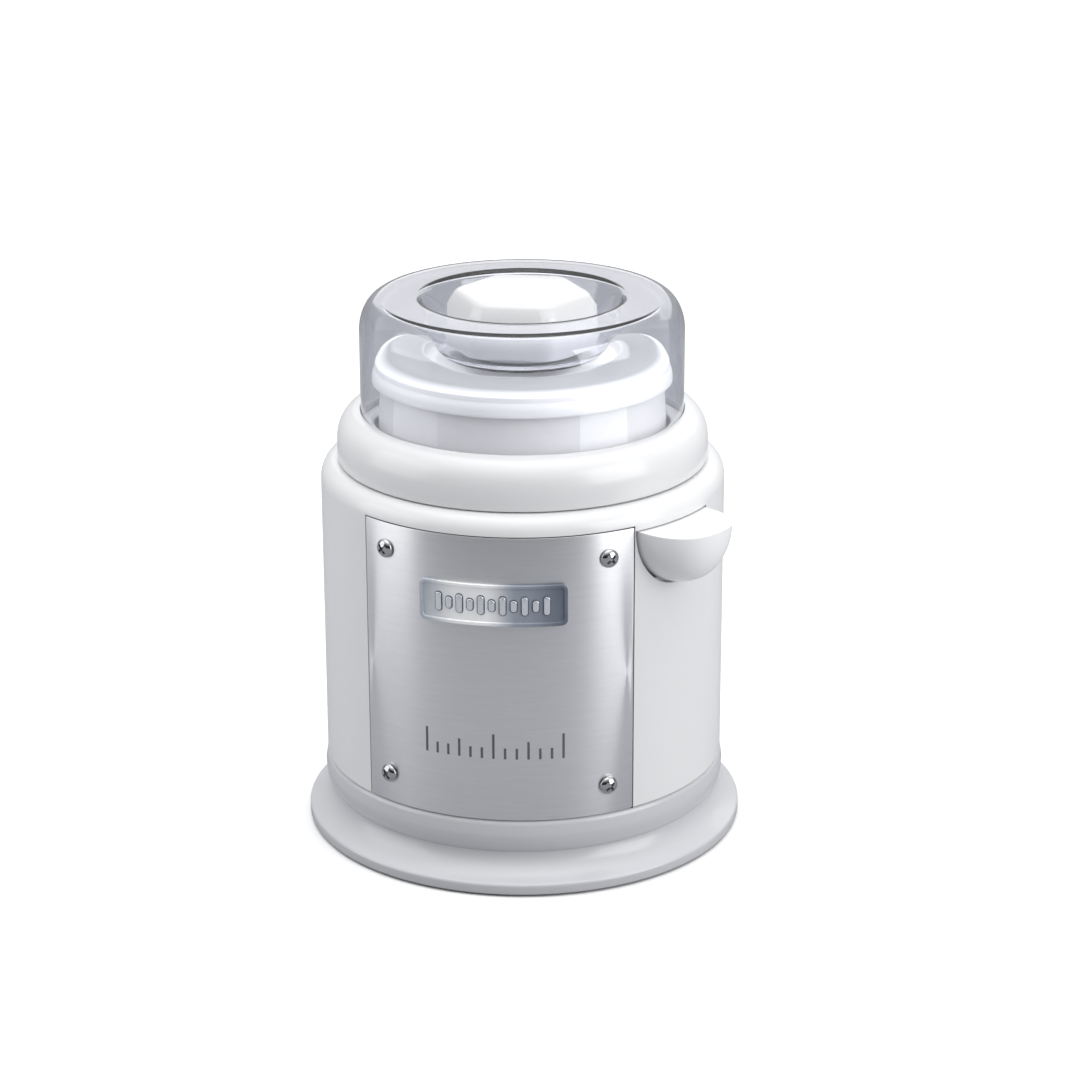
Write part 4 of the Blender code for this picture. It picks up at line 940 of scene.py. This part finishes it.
# ---- pieces kept from the frame -----------------------------------------------------------
def dress_frame_nodes():
    """Gives each CAD node that is still shown its finish."""
    finishes = {
        "white_plastic": WHITE, "jar_plastic": JAR_WHITE, "clear_cover": CLEAR,
        "panel_metal": PANEL_METAL, "nameplate_metal": BADGE_METAL, "chrome": CHROME,
        "steel": STEEL, "aluminium": SPUN, "rubber": RUBBER, "silicone": SILICONE,
        "black_plastic": BLACK, "insulation": WOOL, "brass": BRASS, "wire_brown": WIRE_BROWN,
        "wire_blue": WIRE_BLUE, "wire_green": WIRE_GREEN,
    }
    slots = {part["node"]: part["material_slot"] for part in frame["record"]["subparts"]}
    for name, node in frame["nodes"].items():
        node.data.materials.clear()
        node.data.materials.append(finishes[slots[name]])


# ---- stage, lights and camera -------------------------------------------------------------
def show_to_camera(tree, lighting, seen):
    """One shader for the light that falls on the object, and a whiter one for the picture."""
    rays = add_node(tree, "ShaderNodeLightPath")
    mix = add_node(tree, "ShaderNodeMixShader")
    out = next(n for n in tree.nodes if n.type in ("OUTPUT_MATERIAL", "OUTPUT_WORLD"))
    tree.links.new(rays.outputs["Is Camera Ray"], mix.inputs["Fac"])
    tree.links.new(lighting, mix.inputs[1])
    tree.links.new(seen, mix.inputs[2])
    tree.links.new(mix.outputs["Shader"], out.inputs["Surface"])


def make_floor():
    """A pale floor that looks white, and throws back only part of the light onto the object."""
    half_width = 8000.0
    shape = bmesh.new()
    bmesh.ops.create_grid(shape, x_segments=1, y_segments=1, size=half_width)
    floor = add_piece("floor", shape)
    material = make_material("pale_floor", (0.94, 0.94, 0.94), (0.6, 0.7), variation=0.004,
                             grain=3.0, bump=20.0, bump_scale=300.0, Specular_IOR_Level=0.0)
    tree = material.node_tree
    seen = tree.nodes["Principled BSDF"]
    bounce = add_node(tree, "ShaderNodeBsdfDiffuse", {"Color": (0.34, 0.345, 0.36, 1.0)})
    show_to_camera(tree, bounce.outputs["BSDF"], seen.outputs["BSDF"])
    floor.data.materials.append(material)


def make_world():
    """A soft white room: bright overhead, dimmer near the horizon, brighter behind the object.

    The camera itself sees a plain white backdrop.
    """
    horizon, overhead, sharpness, tilt_right, tilt_back = 0.245, 2.5, 3.3, 0.01, 0.24
    world = bpy.data.worlds.new("studio")
    SCENE.world = world
    world.use_nodes = True
    tree = world.node_tree
    background = tree.nodes["Background"]
    place = add_node(tree, "ShaderNodeTexCoord")
    toward = add_node(tree, "ShaderNodeSeparateXYZ")
    up = add_node(tree, "ShaderNodeMath", {1: 0.0}, operation="MAXIMUM")
    lift = add_node(tree, "ShaderNodeMath", {1: sharpness}, operation="POWER")
    ceiling = add_node(tree, "ShaderNodeMath", {1: overhead, 2: horizon},
                       operation="MULTIPLY_ADD")
    right = add_node(tree, "ShaderNodeMath", {1: tilt_right}, operation="MULTIPLY_ADD")
    back = add_node(tree, "ShaderNodeMath", {1: tilt_back}, operation="MULTIPLY_ADD")
    tree.links.new(place.outputs["Generated"], toward.inputs["Vector"])
    tree.links.new(toward.outputs["Z"], up.inputs[0])
    tree.links.new(up.outputs["Value"], lift.inputs[0])
    tree.links.new(lift.outputs["Value"], ceiling.inputs[0])
    tree.links.new(toward.outputs["X"], right.inputs[0])
    tree.links.new(ceiling.outputs["Value"], right.inputs[2])
    tree.links.new(toward.outputs["Y"], back.inputs[0])
    tree.links.new(right.outputs["Value"], back.inputs[2])
    tree.links.new(back.outputs["Value"], background.inputs["Strength"])
    background.inputs["Color"].default_value = (0.98, 0.985, 1.0, 1.0)
    backdrop = add_node(tree, "ShaderNodeBackground", {"Color": (1, 1, 1, 1), "Strength": 1.0})
    show_to_camera(tree, background.outputs["Background"], backdrop.outputs["Background"])


def add_softbox(name, size, place, watts):
    """A rectangular light aimed at the object's middle. Its size and place are in metres."""
    middle = Vector((0, 0, 0.12))
    data = bpy.data.lights.new(name, "AREA")
    data.shape = "RECTANGLE"
    data.size, data.size_y = size
    data.energy = watts
    light = bpy.data.objects.new(name, data)
    SCENE.collection.objects.link(light)
    light.location = place
    light.rotation_euler = (middle - Vector(place)).to_track_quat("-Z", "Y").to_euler()


def make_lights():
    add_softbox("top_softbox", (1.2, 1.2), (0.1, 0.15, 1.8), 2.0)
    add_softbox("left_softbox", (1.0, 1.2), (-1.21, -0.38, 0.45), 6.4)
    add_softbox("right_softbox", (0.95, 1.2), (1.23, -0.52, 0.40), 12.3)
    add_softbox("back_softbox", (2.2, 0.5), (0.15, 1.6, 0.80), 2.8)


def make_camera():
    """A long lens, a little right of the panel and above it. Lengths are in metres."""
    azimuth, elevation, roll, distance = radians(8.4), radians(18.71), radians(-0.277), 1.2275
    aim = Vector((0, 0, 0.1415))
    back = Vector((sin(azimuth) * cos(elevation), -cos(azimuth) * cos(elevation), sin(elevation)))
    data = bpy.data.cameras.new("camera")
    data.lens, data.sensor_width = 100.3, 36.0
    data.shift_x, data.shift_y = 0.016, -0.051
    data.clip_start, data.clip_end = 0.05, 50.0
    camera = bpy.data.objects.new("camera", data)
    SCENE.collection.objects.link(camera)
    camera.matrix_world = (Matrix.Translation(aim + back * distance)
                           @ (-back).to_track_quat("-Z", "Y").to_matrix().to_4x4()
                           @ Matrix.Rotation(roll, 4, "Z"))
    SCENE.camera = camera


def main():
    make_camera()
    make_foot_ring()
    make_bottom_plate()
    make_feet()
    make_base_screws()
    make_housing()
    make_front_panel()
    make_panel_painted_shadow_line()
    make_panel_screws()
    make_nameplate()
    make_print()
    make_collar()
    make_well()
    make_jar()
    make_jar_lid()
    make_lid_seal()
    make_dome()
    make_knob()
    make_knob_screw()
    make_lever()
    make_inlet()
    remove_cutters()
    dress_frame_nodes()
    make_floor()
    make_world()
    make_lights()
    SCENE.view_settings.view_transform = "Standard"


main()
